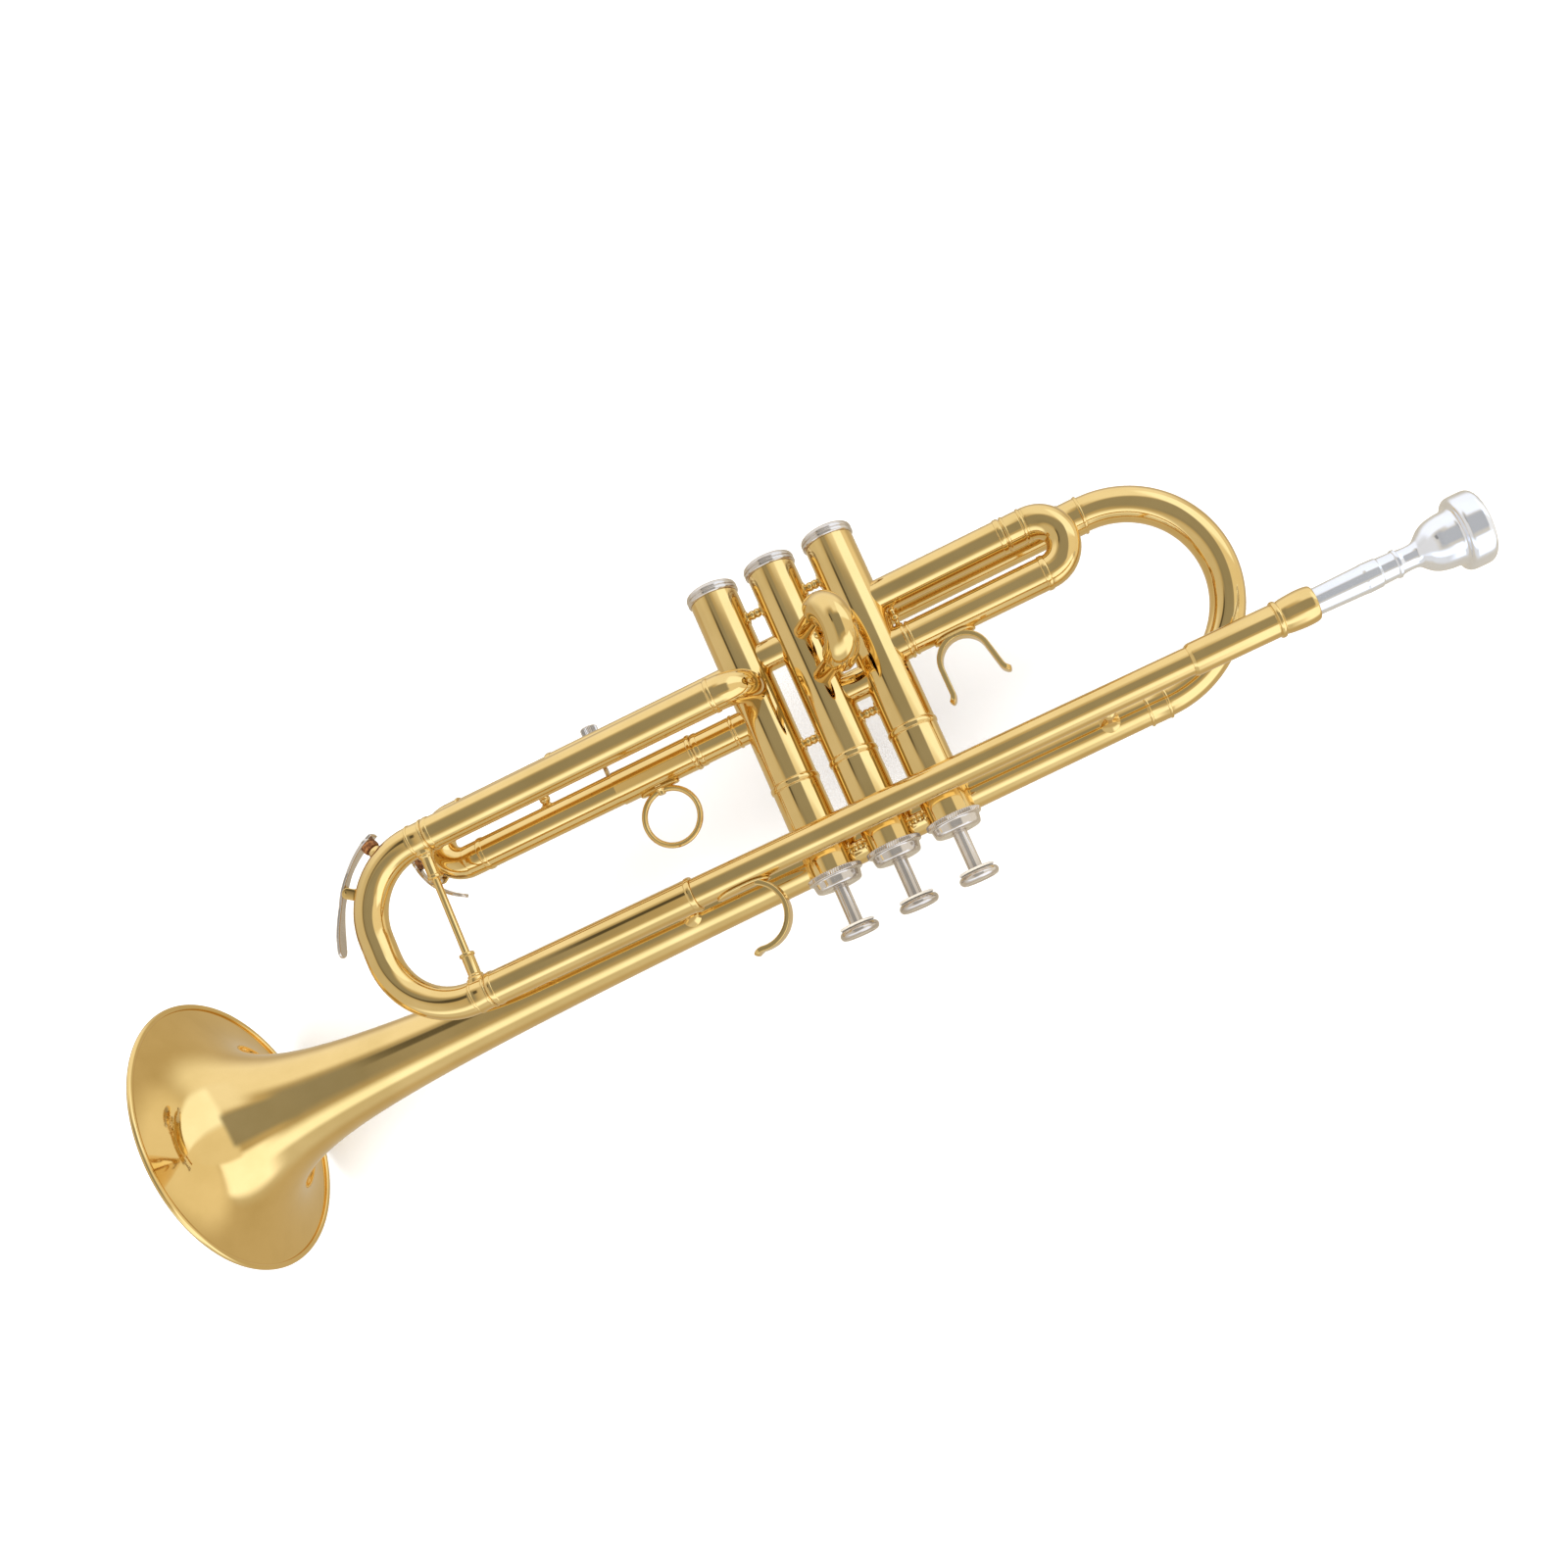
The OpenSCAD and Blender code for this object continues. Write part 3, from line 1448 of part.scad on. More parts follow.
third_key_saddle();
third_key_lever();
third_key_cork();
third_key_spring();
mouthpiece();
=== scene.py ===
"""Looks of a three-valve trumpet in lacquered brass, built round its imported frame.

Sizes are millimetres in the trumpet's own layout: x runs towards the bell, y towards the finger buttons
and side towards the leadpipe, from the middle valve's axis at the height of the bell. Only make_piece()
turns them into the frame's metres.
"""

import json
import logging
import math
from dataclasses import dataclass, field
from enum import Enum
from typing import Any, Iterable, Sequence

import bpy
import numpy as np
from mathutils import Matrix


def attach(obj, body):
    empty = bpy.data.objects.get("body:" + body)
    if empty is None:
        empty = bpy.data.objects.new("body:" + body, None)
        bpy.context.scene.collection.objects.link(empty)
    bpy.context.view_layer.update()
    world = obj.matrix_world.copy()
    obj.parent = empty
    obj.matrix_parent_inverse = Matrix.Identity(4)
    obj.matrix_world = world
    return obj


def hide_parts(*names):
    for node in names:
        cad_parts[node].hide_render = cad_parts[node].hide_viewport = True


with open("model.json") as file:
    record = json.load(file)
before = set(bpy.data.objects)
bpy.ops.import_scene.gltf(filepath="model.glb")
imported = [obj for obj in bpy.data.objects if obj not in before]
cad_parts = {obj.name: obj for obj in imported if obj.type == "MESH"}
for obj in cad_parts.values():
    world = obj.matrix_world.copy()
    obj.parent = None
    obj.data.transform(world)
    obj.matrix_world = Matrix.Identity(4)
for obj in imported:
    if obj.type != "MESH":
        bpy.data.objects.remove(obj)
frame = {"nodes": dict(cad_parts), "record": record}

log = logging.getLogger("trumpet")

MM = 0.001
# Angle in degrees above which an edge stays sharp.
CREASE = 32.0
TINY = 1e-6
# The frame's origin in the trumpet's own layout.
FRAME_ORIGIN = np.array([39.6, -26.25, -84.2])
FORWARD = np.array([1.0, 0.0, 0.0])
UP = np.array([0.0, 1.0, 0.0])
SIDE = np.array([0.0, 0.0, 1.0])

Profile = list[tuple[float, float]]


class Slot(Enum):
    """Material slots of the record."""

    BRASS = "lacquered_brass"
    NICKEL = "nickel_plate"
    SILVER = "silver_plate"
    PISTON = "piston_nickel"
    SPRING = "spring_steel"
    FELT = "felt"
    CORK = "cork"
    NYLON = "nylon"


# ---------- surfaces ----------


@dataclass
class Surface:
    """A closed skin.

    Attributes:
        points: Corner points in millimetres, one row each.
        quads: Four point numbers for each four-sided face.
        tris: Three point numbers for each face at a pole.
        quad_uv: Distance round and along, in millimetres, at each corner of the quads.
        tri_uv: The same for the corners of the tris.
    """

    points: np.ndarray
    quads: np.ndarray
    tris: np.ndarray
    quad_uv: np.ndarray
    tri_uv: np.ndarray

    def volume(self) -> float:
        """Signed volume: a sixth of the sum of a . (b x c) over the surface's triangles."""
        q, p = self.quads, self.points
        fans = np.concatenate([q[:, [0, 1, 2]], q[:, [0, 2, 3]], self.tris])
        a, b, c = (p[fans[:, k]] for k in range(3))
        return float(np.einsum("ij,ij->i", a, np.cross(b, c)).sum() / 6)

    def outward(self) -> "Surface":
        """Turns every face round if the volume comes out negative, so that faces point outwards."""
        if self.volume() < 0:
            self.quads, self.quad_uv = self.quads[:, ::-1], self.quad_uv[:, ::-1]
            self.tris, self.tri_uv = self.tris[:, ::-1], self.tri_uv[:, ::-1]
        return self


def grid_skin(points: np.ndarray, close_rows: bool) -> Surface:
    """Joins a grid of points into a skin whose columns close on themselves.

    Point (i, j) is joined to (i + 1, j) and (i, j + 1). Where the rows don't close, the first and last row
    are poles: all their points are one, and triangles fan out from it.

    Args:
        points: Grid of shape (rows, columns, 3).
        close_rows: True where the last row joins the first, as in a tube's wall.

    Returns:
        The closed skin, with its faces pointing outwards.
    """
    rows, cols = points.shape[:2]
    steps_round = np.linalg.norm(np.roll(points, -1, 1) - points, axis=2).mean(0)
    around = np.concatenate([[0.0], np.cumsum(steps_round)])
    steps_along = np.linalg.norm(np.roll(points, -1, 0) - points, axis=2).mean(1)
    along = np.concatenate([[0.0], np.cumsum(steps_along)])
    i, j = np.meshgrid(np.arange(rows if close_rows else rows - 1), np.arange(cols), indexing="ij")
    i, j = i.ravel(), j.ravel()
    n, m = (i + 1) % rows, (j + 1) % cols
    quads = np.stack([i * cols + j, i * cols + m, n * cols + m, n * cols + j], 1)
    uv = np.stack(
        [
            np.stack([around[j], along[i]], 1),
            np.stack([around[j + 1], along[i]], 1),
            np.stack([around[j + 1], along[i + 1]], 1),
            np.stack([around[j], along[i + 1]], 1),
        ],
        1,
    )
    flat = points.reshape(-1, 3).copy()
    if close_rows:
        none = np.zeros((0, 3), int)
        return Surface(flat, quads, none, uv, np.zeros((0, 3, 2))).outward()
    first, last = i == 0, i == rows - 2
    head = np.stack([np.zeros(cols, int), quads[first][:, 2], quads[first][:, 3]], 1)
    tail = np.stack([quads[last][:, 0], quads[last][:, 1], np.full(cols, (rows - 1) * cols)], 1)
    body = ~(first | last)
    tri_uv = np.concatenate([uv[first][:, [0, 2, 3]], uv[last][:, [0, 1, 3]]])
    used = np.unique(np.concatenate([quads[body].ravel(), head.ravel(), tail.ravel()]))
    place = np.zeros(len(flat), int)
    place[used] = np.arange(len(used))
    return Surface(
        flat[used], place[quads[body]], place[np.concatenate([head, tail])], uv[body], tri_uv
    ).outward()


@dataclass(frozen=True)
class Route:
    """A centre line of straight runs and bends in one plane.

    Attributes:
        start: Where it starts.
        heading: Unit direction at the start.
        across: Unit normal of its plane; a positive turn is towards across x heading.
        runs: (length, turn in degrees) of each run; a turn of 0 is straight.
    """

    start: np.ndarray
    heading: np.ndarray
    across: np.ndarray
    runs: tuple[tuple[float, float], ...] = ()

    def straight(self, length: float) -> "Route":
        """The route with a straight run added."""
        return Route(self.start, self.heading, self.across, self.runs + ((length, 0.0),))

    def bend(self, radius: float, turn: float) -> "Route":
        """The route with an arc of that radius and turn added."""
        length = radius * math.radians(abs(turn))
        return Route(self.start, self.heading, self.across, self.runs + ((length, turn),))

    @property
    def length(self) -> float:
        """Length of all the runs."""
        return sum(run for run, _ in self.runs)

    def at(self, s: np.ndarray) -> tuple[np.ndarray, np.ndarray]:
        """Points and headings at distances s.

        In a run of curvature k the heading is h cos(ks) + n sin(ks), with n = across x h, and the point is
        p + (h sin(ks) + n (1 - cos(ks))) / k. Distances past either end go straight on.

        Args:
            s: Distances from the start.

        Returns:
            The points and the unit headings, one row for each distance.
        """
        s = np.asarray(s, float)
        p, h, done = self.start.astype(float), self.heading.astype(float), 0.0
        points, headings = p + s[:, None] * h, np.repeat(h[None], len(s), 0)
        far = 1e4
        for length, turn in (*self.runs, (far, 0.0)):
            here = s >= done if done else s > 0
            t = s[here] - done
            k = math.radians(turn) / length
            n = np.cross(self.across, h)
            if k:
                a = (k * t)[:, None]
                points[here] = p + (h * np.sin(a) + n * (1 - np.cos(a))) / k
                headings[here] = h * np.cos(a) + n * np.sin(a)
                w = math.radians(turn)
                p = p + (h * math.sin(w) + n * (1 - math.cos(w))) / k
                h = h * math.cos(w) + n * math.sin(w)
            else:
                points[here], headings[here] = p + t[:, None] * h, h
                p = p + length * h
            done += length
        return points, headings


def line_from(start: Sequence[float], heading: np.ndarray, length: float = 1.0) -> Route:
    """A straight route from a point."""
    across = SIDE if abs(float(np.dot(heading, SIDE))) < 0.9 else UP
    return Route(np.array(start, float), unit(heading), across).straight(length)


def unit(v: np.ndarray) -> np.ndarray:
    """The vector scaled to length 1."""
    return np.asarray(v, float) / np.linalg.norm(v)


def softened(profile: Profile, soft: float, closed: bool) -> Profile:
    """Rounds a profile's corners.

    Each corner p becomes four points of the curve (1 - t)^2 a + 2 t (1 - t) p + t^2 b, where a and b lie on
    the two edges at the given distance from p, or less where an edge is short.

    Args:
        profile: (radius, distance) pairs.
        soft: How far from the corner the rounding starts.
        closed: True where the last point joins the first.

    Returns:
        The rounded profile.
    """
    p = np.array(profile, float)
    before, after = np.roll(p, 1, 0) - p, np.roll(p, -1, 0) - p
    reach_b, reach_a = np.linalg.norm(before, axis=1), np.linalg.norm(after, axis=1)
    cut = np.minimum(soft, 0.42 * np.minimum(reach_b, reach_a))
    if not closed:
        cut[0] = cut[-1] = 0
    a = p + before * (cut / np.maximum(reach_b, TINY))[:, None]
    b = p + after * (cut / np.maximum(reach_a, TINY))[:, None]
    t = np.array([0.0, 1 / 3, 2 / 3, 1.0])[None, :, None]
    made = (1 - t) ** 2 * a[:, None] + 2 * t * (1 - t) * p[:, None] + t**2 * b[:, None]
    made = made.reshape(-1, 2)
    keep = np.linalg.norm(np.roll(made, 1, 0) - made, axis=1) > TINY
    if not closed:
        keep[0] = True
    return [tuple(v) for v in made[keep]]


def eased(profile: Profile, rounds: int = 3) -> Profile:
    """Turns a polyline into a flowing curve: each round cuts every edge at a quarter and three quarters."""
    p = np.array(profile, float)
    for _ in range(rounds):
        cuts = np.stack([0.75 * p[:-1] + 0.25 * p[1:], 0.25 * p[:-1] + 0.75 * p[1:]], 1)
        p = np.concatenate([p[:1], cuts.reshape(-1, 2), p[-1:]])
    return [tuple(v) for v in p]


def spread(profile: np.ndarray, step: float, closed: bool) -> np.ndarray:
    """Adds evenly spaced points to a profile.

    Args:
        profile: (radius, distance) rows.
        step: The furthest apart that two neighbours may be.
        closed: True where the last point joins the first.

    Returns:
        The profile with its new points.
    """
    ends = np.roll(profile, -1, 0) if closed else profile[1:]
    starts = profile if closed else profile[:-1]
    counts = np.maximum(1, np.ceil(np.linalg.norm(ends - starts, axis=1) / step)).astype(int)
    edge = np.repeat(np.arange(len(counts)), counts)
    t = (np.arange(counts.sum()) - np.repeat(np.cumsum(counts) - counts, counts)) / counts[edge]
    made = starts[edge] + (ends - starts)[edge] * t[:, None]
    return made if closed else np.concatenate([made, profile[-1:]])


def carried(
    profile: Profile, route: Route, closed: bool = False, step: float = math.inf, segments: int = 72
) -> Surface:
    """Carries a round profile along a route, as turning does along a straight one.

    A pair (r, s) gives the ring route(s) + r (cos(a) n + sin(a) across), with n = across x heading.

    Args:
        profile: (radius, distance) pairs.
        route: The centre line.
        closed: True for a wall whose profile is a loop; otherwise the ends are closed to a point.
        step: Longest gap between rings, for routes that bend.
        segments: Points round each ring.

    Returns:
        The closed skin.
    """
    p = np.array(profile, float)
    if not closed:
        caps = [[0.0, p[0, 1]]] if p[0, 0] > TINY else []
        tail = [[0.0, p[-1, 1]]] if p[-1, 0] > TINY else []
        p = np.concatenate([np.reshape(caps, (-1, 2)), p, np.reshape(tail, (-1, 2))])
    p = spread(p, step, closed)
    centre, heading = route.at(p[:, 1])
    n = np.cross(route.across, heading)
    a = np.linspace(0, 2 * math.pi, segments, endpoint=False)[None, :, None]
    ring = np.cos(a) * n[:, None] + np.sin(a) * route.across[None, None]
    return grid_skin(centre[:, None] + p[:, None, :1] * ring, closed)


def turned(
    profile: Profile, base: Sequence[float], axis: np.ndarray, closed: bool = False, segments: int = 72
) -> Surface:
    """Spins a profile of (radius, height) pairs about an axis through base."""
    return carried(profile, line_from(base, axis), closed, segments=segments)


def rounding(d: np.ndarray, reach: float) -> np.ndarray:
    """How a rounded end grows with distance d from it: (1 - (1 - d/e)^2)^(1/2), and 1 past the reach e."""
    return np.sqrt(np.clip(1 - (1 - np.clip(d / max(reach, TINY), 0, 1)) ** 2, 0, 1))


def squared(count: int, power: float) -> tuple[np.ndarray, np.ndarray]:
    """A section between round and square: sgn(cos a) |cos a|^q, and the same of sin a.

    Args:
        count: Points round the section.
        power: The power q; 1 is round and 0 is square.

    Returns:
        The section's two coordinates, each as one row.
    """
    a = np.linspace(0, 2 * math.pi, count, endpoint=False)[None]
    across, outwards = (np.sign(c) * np.abs(c) ** power for c in (np.cos(a), np.sin(a)))
    return across, outwards


def strap(
    route: Route,
    low: float,
    high: float,
    width: float | Sequence[tuple[float, float]],
    height: float,
    tip: float = 0.0,
    squareness: float = 0.3,
    stations: int = 60,
    ends: float = 0.5,
) -> Surface:
    """A flat strip along a route, with a rounded section and rounded tips.

    The section is that of squared(), w wide across the route and h thick. Near an end both shrink as
    rounding() says.

    Args:
        route: Centre line of the strip.
        low: Distance where the strip starts.
        high: Distance where it ends.
        width: Size across the route's plane, or (share of the length, size) pairs that it passes through.
        height: Thickness in the plane.
        tip: Length over which the far end's width rounds off.
        squareness: The section's power; 1 is round and 0 is square.
        stations: Rings along the strip.
        ends: Length over which the thickness rounds off at each end.

    Returns:
        The closed skin.
    """
    t = np.linspace(0, 1, stations)
    s = low + (high - low) * (1 - np.cos(math.pi * t)) / 2
    h = height * rounding(s - low, ends) * rounding(high - s, ends)
    pairs = np.array([(0.0, width), (1.0, width)] if isinstance(width, (int, float)) else width, float)
    w = np.interp((s - low) / (high - low), pairs[:, 0], pairs[:, 1])
    w = w * rounding(s - low, ends) * rounding(high - s, max(tip, ends))
    centre, heading = route.at(s)
    n = np.cross(route.across, heading)
    across, outwards = squared(40, squareness)
    u, v = w[:, None] / 2 * across, h[:, None] / 2 * outwards
    points = centre[:, None] + u[..., None] * route.across + v[..., None] * n[:, None]
    return grid_skin(points, False)


def pipe_profile(outer: Profile, bore: float, soft: float = 0.12) -> Profile:
    """A tube's wall as a loop: the outer line from its start to its end, then back along the bore."""
    return softened([*outer, (bore / 2, outer[-1][1]), (bore / 2, outer[0][1])], soft, True)


def bead_line(radius: float, start: float, length: float, rise: float, grooves: bool = True) -> Profile:
    """A half-round bead on a tube: r = radius + rise sin(a)^0.8 as a goes from 0 to a half turn.

    Args:
        radius: Radius of the tube.
        start: Distance where the bead starts.
        length: Its length.
        rise: Its height.
        grooves: True for a fine line cut on each side, as the solder joint leaves it.

    Returns:
        (radius, distance) pairs.
    """
    a = np.linspace(0, math.pi, 9)
    hump = [(radius + rise * math.sin(k) ** 0.8, start + length * (1 - math.cos(k)) / 2) for k in a]
    if not grooves:
        return hump
    line = 0.22
    return [
        (radius, start - 2 * line), (radius - line / 2, start - line), *hump,
        (radius - line / 2, start + length + line), (radius, start + length + 2 * line),
    ]


def ball(radius: float, centre: float, core: float) -> Profile:
    """A ball on a rod, as part of a turned profile: r = R sin(a), h = centre - R cos(a).

    Args:
        radius: Radius R of the ball.
        centre: Height of its middle.
        core: Radius of the rod.

    Returns:
        (radius, height) pairs.
    """
    first = math.asin(min(1.0, core / radius))
    angles = np.linspace(first, math.pi - first, 14)
    return [(radius * math.sin(a), centre - radius * math.cos(a)) for a in angles]


# ---------- materials ----------


def linear(hex_colour: str) -> tuple[float, float, float, float]:
    """An sRGB hex colour as linear red, green, blue and 1."""
    c = np.array([int(hex_colour.lstrip("#")[k : k + 2], 16) / 255 for k in (0, 2, 4)])
    lin = np.where(c <= 0.04045, c / 12.92, ((c + 0.055) / 1.055) ** 2.4)
    return (*(float(v) for v in lin), 1.0)


def plug(tree: bpy.types.NodeTree, node: bpy.types.Node, inputs: dict[Any, Any]) -> None:
    """Fills a node's inputs.

    Args:
        tree: The material's node tree.
        node: The node.
        inputs: By name or number, an output socket to link or a value to set.
    """
    for name, value in inputs.items():
        if isinstance(value, bpy.types.NodeSocket):
            tree.links.new(value, node.inputs[name])
        else:
            node.inputs[name].default_value = value


def add(
    tree: bpy.types.NodeTree, kind: str, inputs: dict[Any, Any] | None = None, **settings: Any
) -> bpy.types.Node:
    """Adds a shader node.

    Args:
        tree: The material's node tree.
        kind: The node's type, such as ShaderNodeBsdfPrincipled.
        inputs: Value or output socket for each of its inputs, by name or number.
        **settings: Its own properties.

    Returns:
        The new node.
    """
    made = tree.nodes.new(kind)
    for name, value in settings.items():
        setattr(made, name, value)
    plug(tree, made, inputs or {})
    return made


def per_metre(size_mm: float) -> float:
    """The scale of a pattern whose features are that many millimetres apart."""
    return 1 / (size_mm * MM)


def blank(name: str) -> tuple[bpy.types.Material, bpy.types.NodeTree, bpy.types.Node]:
    """A new material whose tree holds only a shader and the output.

    Args:
        name: The material's name.

    Returns:
        The material, its node tree and its Principled shader.
    """
    material = bpy.data.materials.new(name)
    material.use_nodes = True
    tree = material.node_tree
    tree.nodes.clear()
    shader = add(tree, "ShaderNodeBsdfPrincipled")
    add(tree, "ShaderNodeOutputMaterial", {"Surface": shader.outputs["BSDF"]})
    return material, tree, shader


@dataclass(frozen=True)
class Polished:
    """A polished metal: plated, or buffed and lacquered.

    Attributes:
        name: What the real finish is.
        tone: Main colour.
        deep: Colour of the slightly darker clouds in it.
        roughness: Roughness where it is cleanest.
        haze: How much rougher the hazed places are.
        cloud_mm: Size of the clouds.
        ripple_mm: Spacing of the faint ripple that buffing leaves.
        ripple: Depth of that ripple, in millimetres.
        hairline_mm: Spacing of the buffing lines, drawn coarse enough to show.
        coat: Weight of the clear lacquer over the metal.
        metal: How much of it mirrors; the rest is the white bloom of a plated skin.
    """

    name: str
    tone: str
    deep: str
    roughness: float = 0.05
    haze: float = 0.05
    cloud_mm: float = 26.0
    ripple_mm: float = 9.0
    ripple: float = 0.004
    hairline_mm: float = 0.45
    coat: float = 0.0
    metal: float = 1.0

    def build(self) -> bpy.types.Material:
        """Builds the material: clouds of tone, hazed roughness with buffing lines, and a faint ripple."""
        material, tree, shader = blank(self.name)
        where = add(tree, "ShaderNodeTexCoord")
        clouds = add(tree, "ShaderNodeTexNoise", {
            "Vector": where.outputs["Object"], "Scale": per_metre(self.cloud_mm),
            "Detail": 4.0, "Roughness": 0.55,
        })
        tint = add(tree, "ShaderNodeValToRGB", {"Fac": clouds.outputs["Fac"]})
        for stop, place, colour in zip(tint.color_ramp.elements, (0.35, 0.62), (self.deep, self.tone)):
            stop.position, stop.color = place, linear(colour)
        stretch = add(tree, "ShaderNodeMapping", {"Vector": where.outputs["UV"], "Scale": (0.03, 1.0, 1.0)})
        lines = add(tree, "ShaderNodeTexNoise", {
            "Vector": stretch.outputs["Vector"], "Scale": 1 / self.hairline_mm,
            "Detail": 3.0, "Roughness": 0.7,
        })
        both = {0: clouds.outputs["Fac"], 1: lines.outputs["Fac"]}
        haze = add(tree, "ShaderNodeMath", both, operation="MULTIPLY")
        rough = add(tree, "ShaderNodeMapRange", {
            "Value": haze.outputs["Value"], "From Min": 0.12, "From Max": 0.42,
            "To Min": self.roughness, "To Max": self.roughness + self.haze,
        })
        ripple = add(tree, "ShaderNodeTexNoise", {
            "Vector": where.outputs["Object"], "Scale": per_metre(self.ripple_mm), "Detail": 1.0,
        })
        bump = add(tree, "ShaderNodeBump", {
            "Height": ripple.outputs["Fac"], "Strength": 1.0, "Distance": self.ripple * MM,
        })
        plug(tree, shader, {
            "Base Color": tint.outputs["Color"], "Roughness": rough.outputs["Result"],
            "Normal": bump.outputs["Normal"], "Metallic": self.metal,
            "Coat Weight": self.coat, "Coat Roughness": 0.03,
        })
        return material


@dataclass(frozen=True)
class Brushed:
    """A satin or drawn metal that is mostly hidden: pistons and springs.

    Attributes:
        name: What the real finish is.
        tone: Its colour.
        roughness: Its mean roughness.
        grain_mm: Spacing of the lapping or drawing marks.
    """

    name: str
    tone: str
    roughness: float = 0.28
    grain_mm: float = 0.6

    def build(self) -> bpy.types.Material:
        """Builds the material: fine marks in the roughness and a slight bump."""
        material, tree, shader = blank(self.name)
        where = add(tree, "ShaderNodeTexCoord")
        squash = add(tree, "ShaderNodeMapping", {"Vector": where.outputs["Object"], "Scale": (0.1, 1.0, 0.1)})
        marks = add(tree, "ShaderNodeTexNoise", {
            "Vector": squash.outputs["Vector"], "Scale": per_metre(self.grain_mm), "Detail": 2.0,
        })
        rough = add(tree, "ShaderNodeMapRange", {
            "Value": marks.outputs["Fac"], "To Min": self.roughness - 0.08, "To Max": self.roughness + 0.1,
        })
        bump = add(tree, "ShaderNodeBump", {
            "Height": marks.outputs["Fac"], "Strength": 0.4, "Distance": 0.01 * MM,
        })
        plug(tree, shader, {
            "Base Color": linear(self.tone), "Roughness": rough.outputs["Result"],
            "Normal": bump.outputs["Normal"], "Metallic": 1.0,
        })
        return material


@dataclass(frozen=True)
class Grained:
    """A soft or moulded material with a grain: felt, cork or nylon.

    Attributes:
        name: What the real material is.
        light: Colour of the grain's high places.
        dark: Colour between them.
        grain_mm: Size of the fibres or granules.
        depth: Depth of the grain, in millimetres.
        roughness: Roughness of the surface.
        sheen: Weight of the fuzz, for felt.
        pits: True where the grain is made of granules with dark pits, as in cork.
    """

    name: str
    light: str
    dark: str
    grain_mm: float
    depth: float
    roughness: float = 0.8
    sheen: float = 0.0
    pits: bool = False

    def build(self) -> bpy.types.Material:
        """Builds the material: a grain of noise, or of granules, that colours the surface and lifts it."""
        material, tree, shader = blank(self.name)
        where = add(tree, "ShaderNodeTexCoord")
        fine = add(tree, "ShaderNodeTexNoise", {
            "Vector": where.outputs["Object"], "Scale": per_metre(self.grain_mm),
            "Detail": 5.0, "Roughness": 0.65,
        })
        grain = fine.outputs["Fac"]
        if self.pits:
            cells = add(tree, "ShaderNodeTexVoronoi", {
                "Vector": where.outputs["Object"], "Scale": per_metre(self.grain_mm * 1.6), "Randomness": 1.0,
            })
            both = {0: cells.outputs["Distance"], 1: fine.outputs["Fac"]}
            grain = add(tree, "ShaderNodeMath", both, operation="MULTIPLY").outputs["Value"]
        tint = add(tree, "ShaderNodeValToRGB", {"Fac": grain})
        for stop, place, colour in zip(tint.color_ramp.elements, (0.18, 0.6), (self.dark, self.light)):
            stop.position, stop.color = place, linear(colour)
        bump = add(tree, "ShaderNodeBump", {"Height": grain, "Strength": 0.8, "Distance": self.depth * MM})
        plug(tree, shader, {
            "Base Color": tint.outputs["Color"], "Normal": bump.outputs["Normal"],
            "Roughness": self.roughness, "Sheen Weight": self.sheen,
        })
        return material


Finish = Polished | Brushed | Grained

FINISHES: dict[Slot, Finish] = {
    # Yellow brass, buffed to a mirror under clear gold lacquer: warm, with bright broad bands.
    Slot.BRASS: Polished("lacquered_yellow_brass", "#EDCD88", "#E4C47E", 0.035, 0.045, coat=0.25),
    # Nickel plate over brass: warmer and darker than silver, with a faint bloom.
    Slot.NICKEL: Polished(
        "polished_nickel_plate", "#D9D1C8", "#C8C0B7", 0.06, 0.07, ripple=0.003, metal=0.92
    ),
    # Silver plate: nearly white and very smooth.
    Slot.SILVER: Polished(
        "polished_silver_plate", "#EDEFF4", "#E4E6EC", 0.04, 0.04, ripple=0.002, metal=0.88
    ),
    # Nickel-plated pistons, lapped to a fine satin.
    Slot.PISTON: Brushed("lapped_nickel_plate", "#B9B6AE", 0.3),
    # Drawn spring wire: grey, with marks along it.
    Slot.SPRING: Brushed("drawn_spring_steel", "#8E8E8C", 0.35, 0.4),
    # Pressed undyed wool felt: fibres about a third of a millimetre apart, with a dull fuzz.
    Slot.FELT: Grained("pressed_wool_felt", "#D3CBBD", "#A59B8B", 0.35, 0.12, 0.95, 0.4),
    # Natural cork: granules of about a millimetre, with dark pits.
    Slot.CORK: Grained("cut_cork", "#A8713F", "#5B3518", 0.7, 0.1, 0.85, pits=True),
    # Moulded nylon: smooth, a little cloudy.
    Slot.NYLON: Grained("moulded_nylon", "#E8E4D8", "#DDD8CB", 2.0, 0.01, 0.4),
}
_built: dict[Slot, bpy.types.Material] = {}


def finish_of(slot: Slot) -> bpy.types.Material:
    """The material of a slot, built once."""
    if slot not in _built:
        _built[slot] = FINISHES[slot].build()
    return _built[slot]


# ---------- pieces ----------


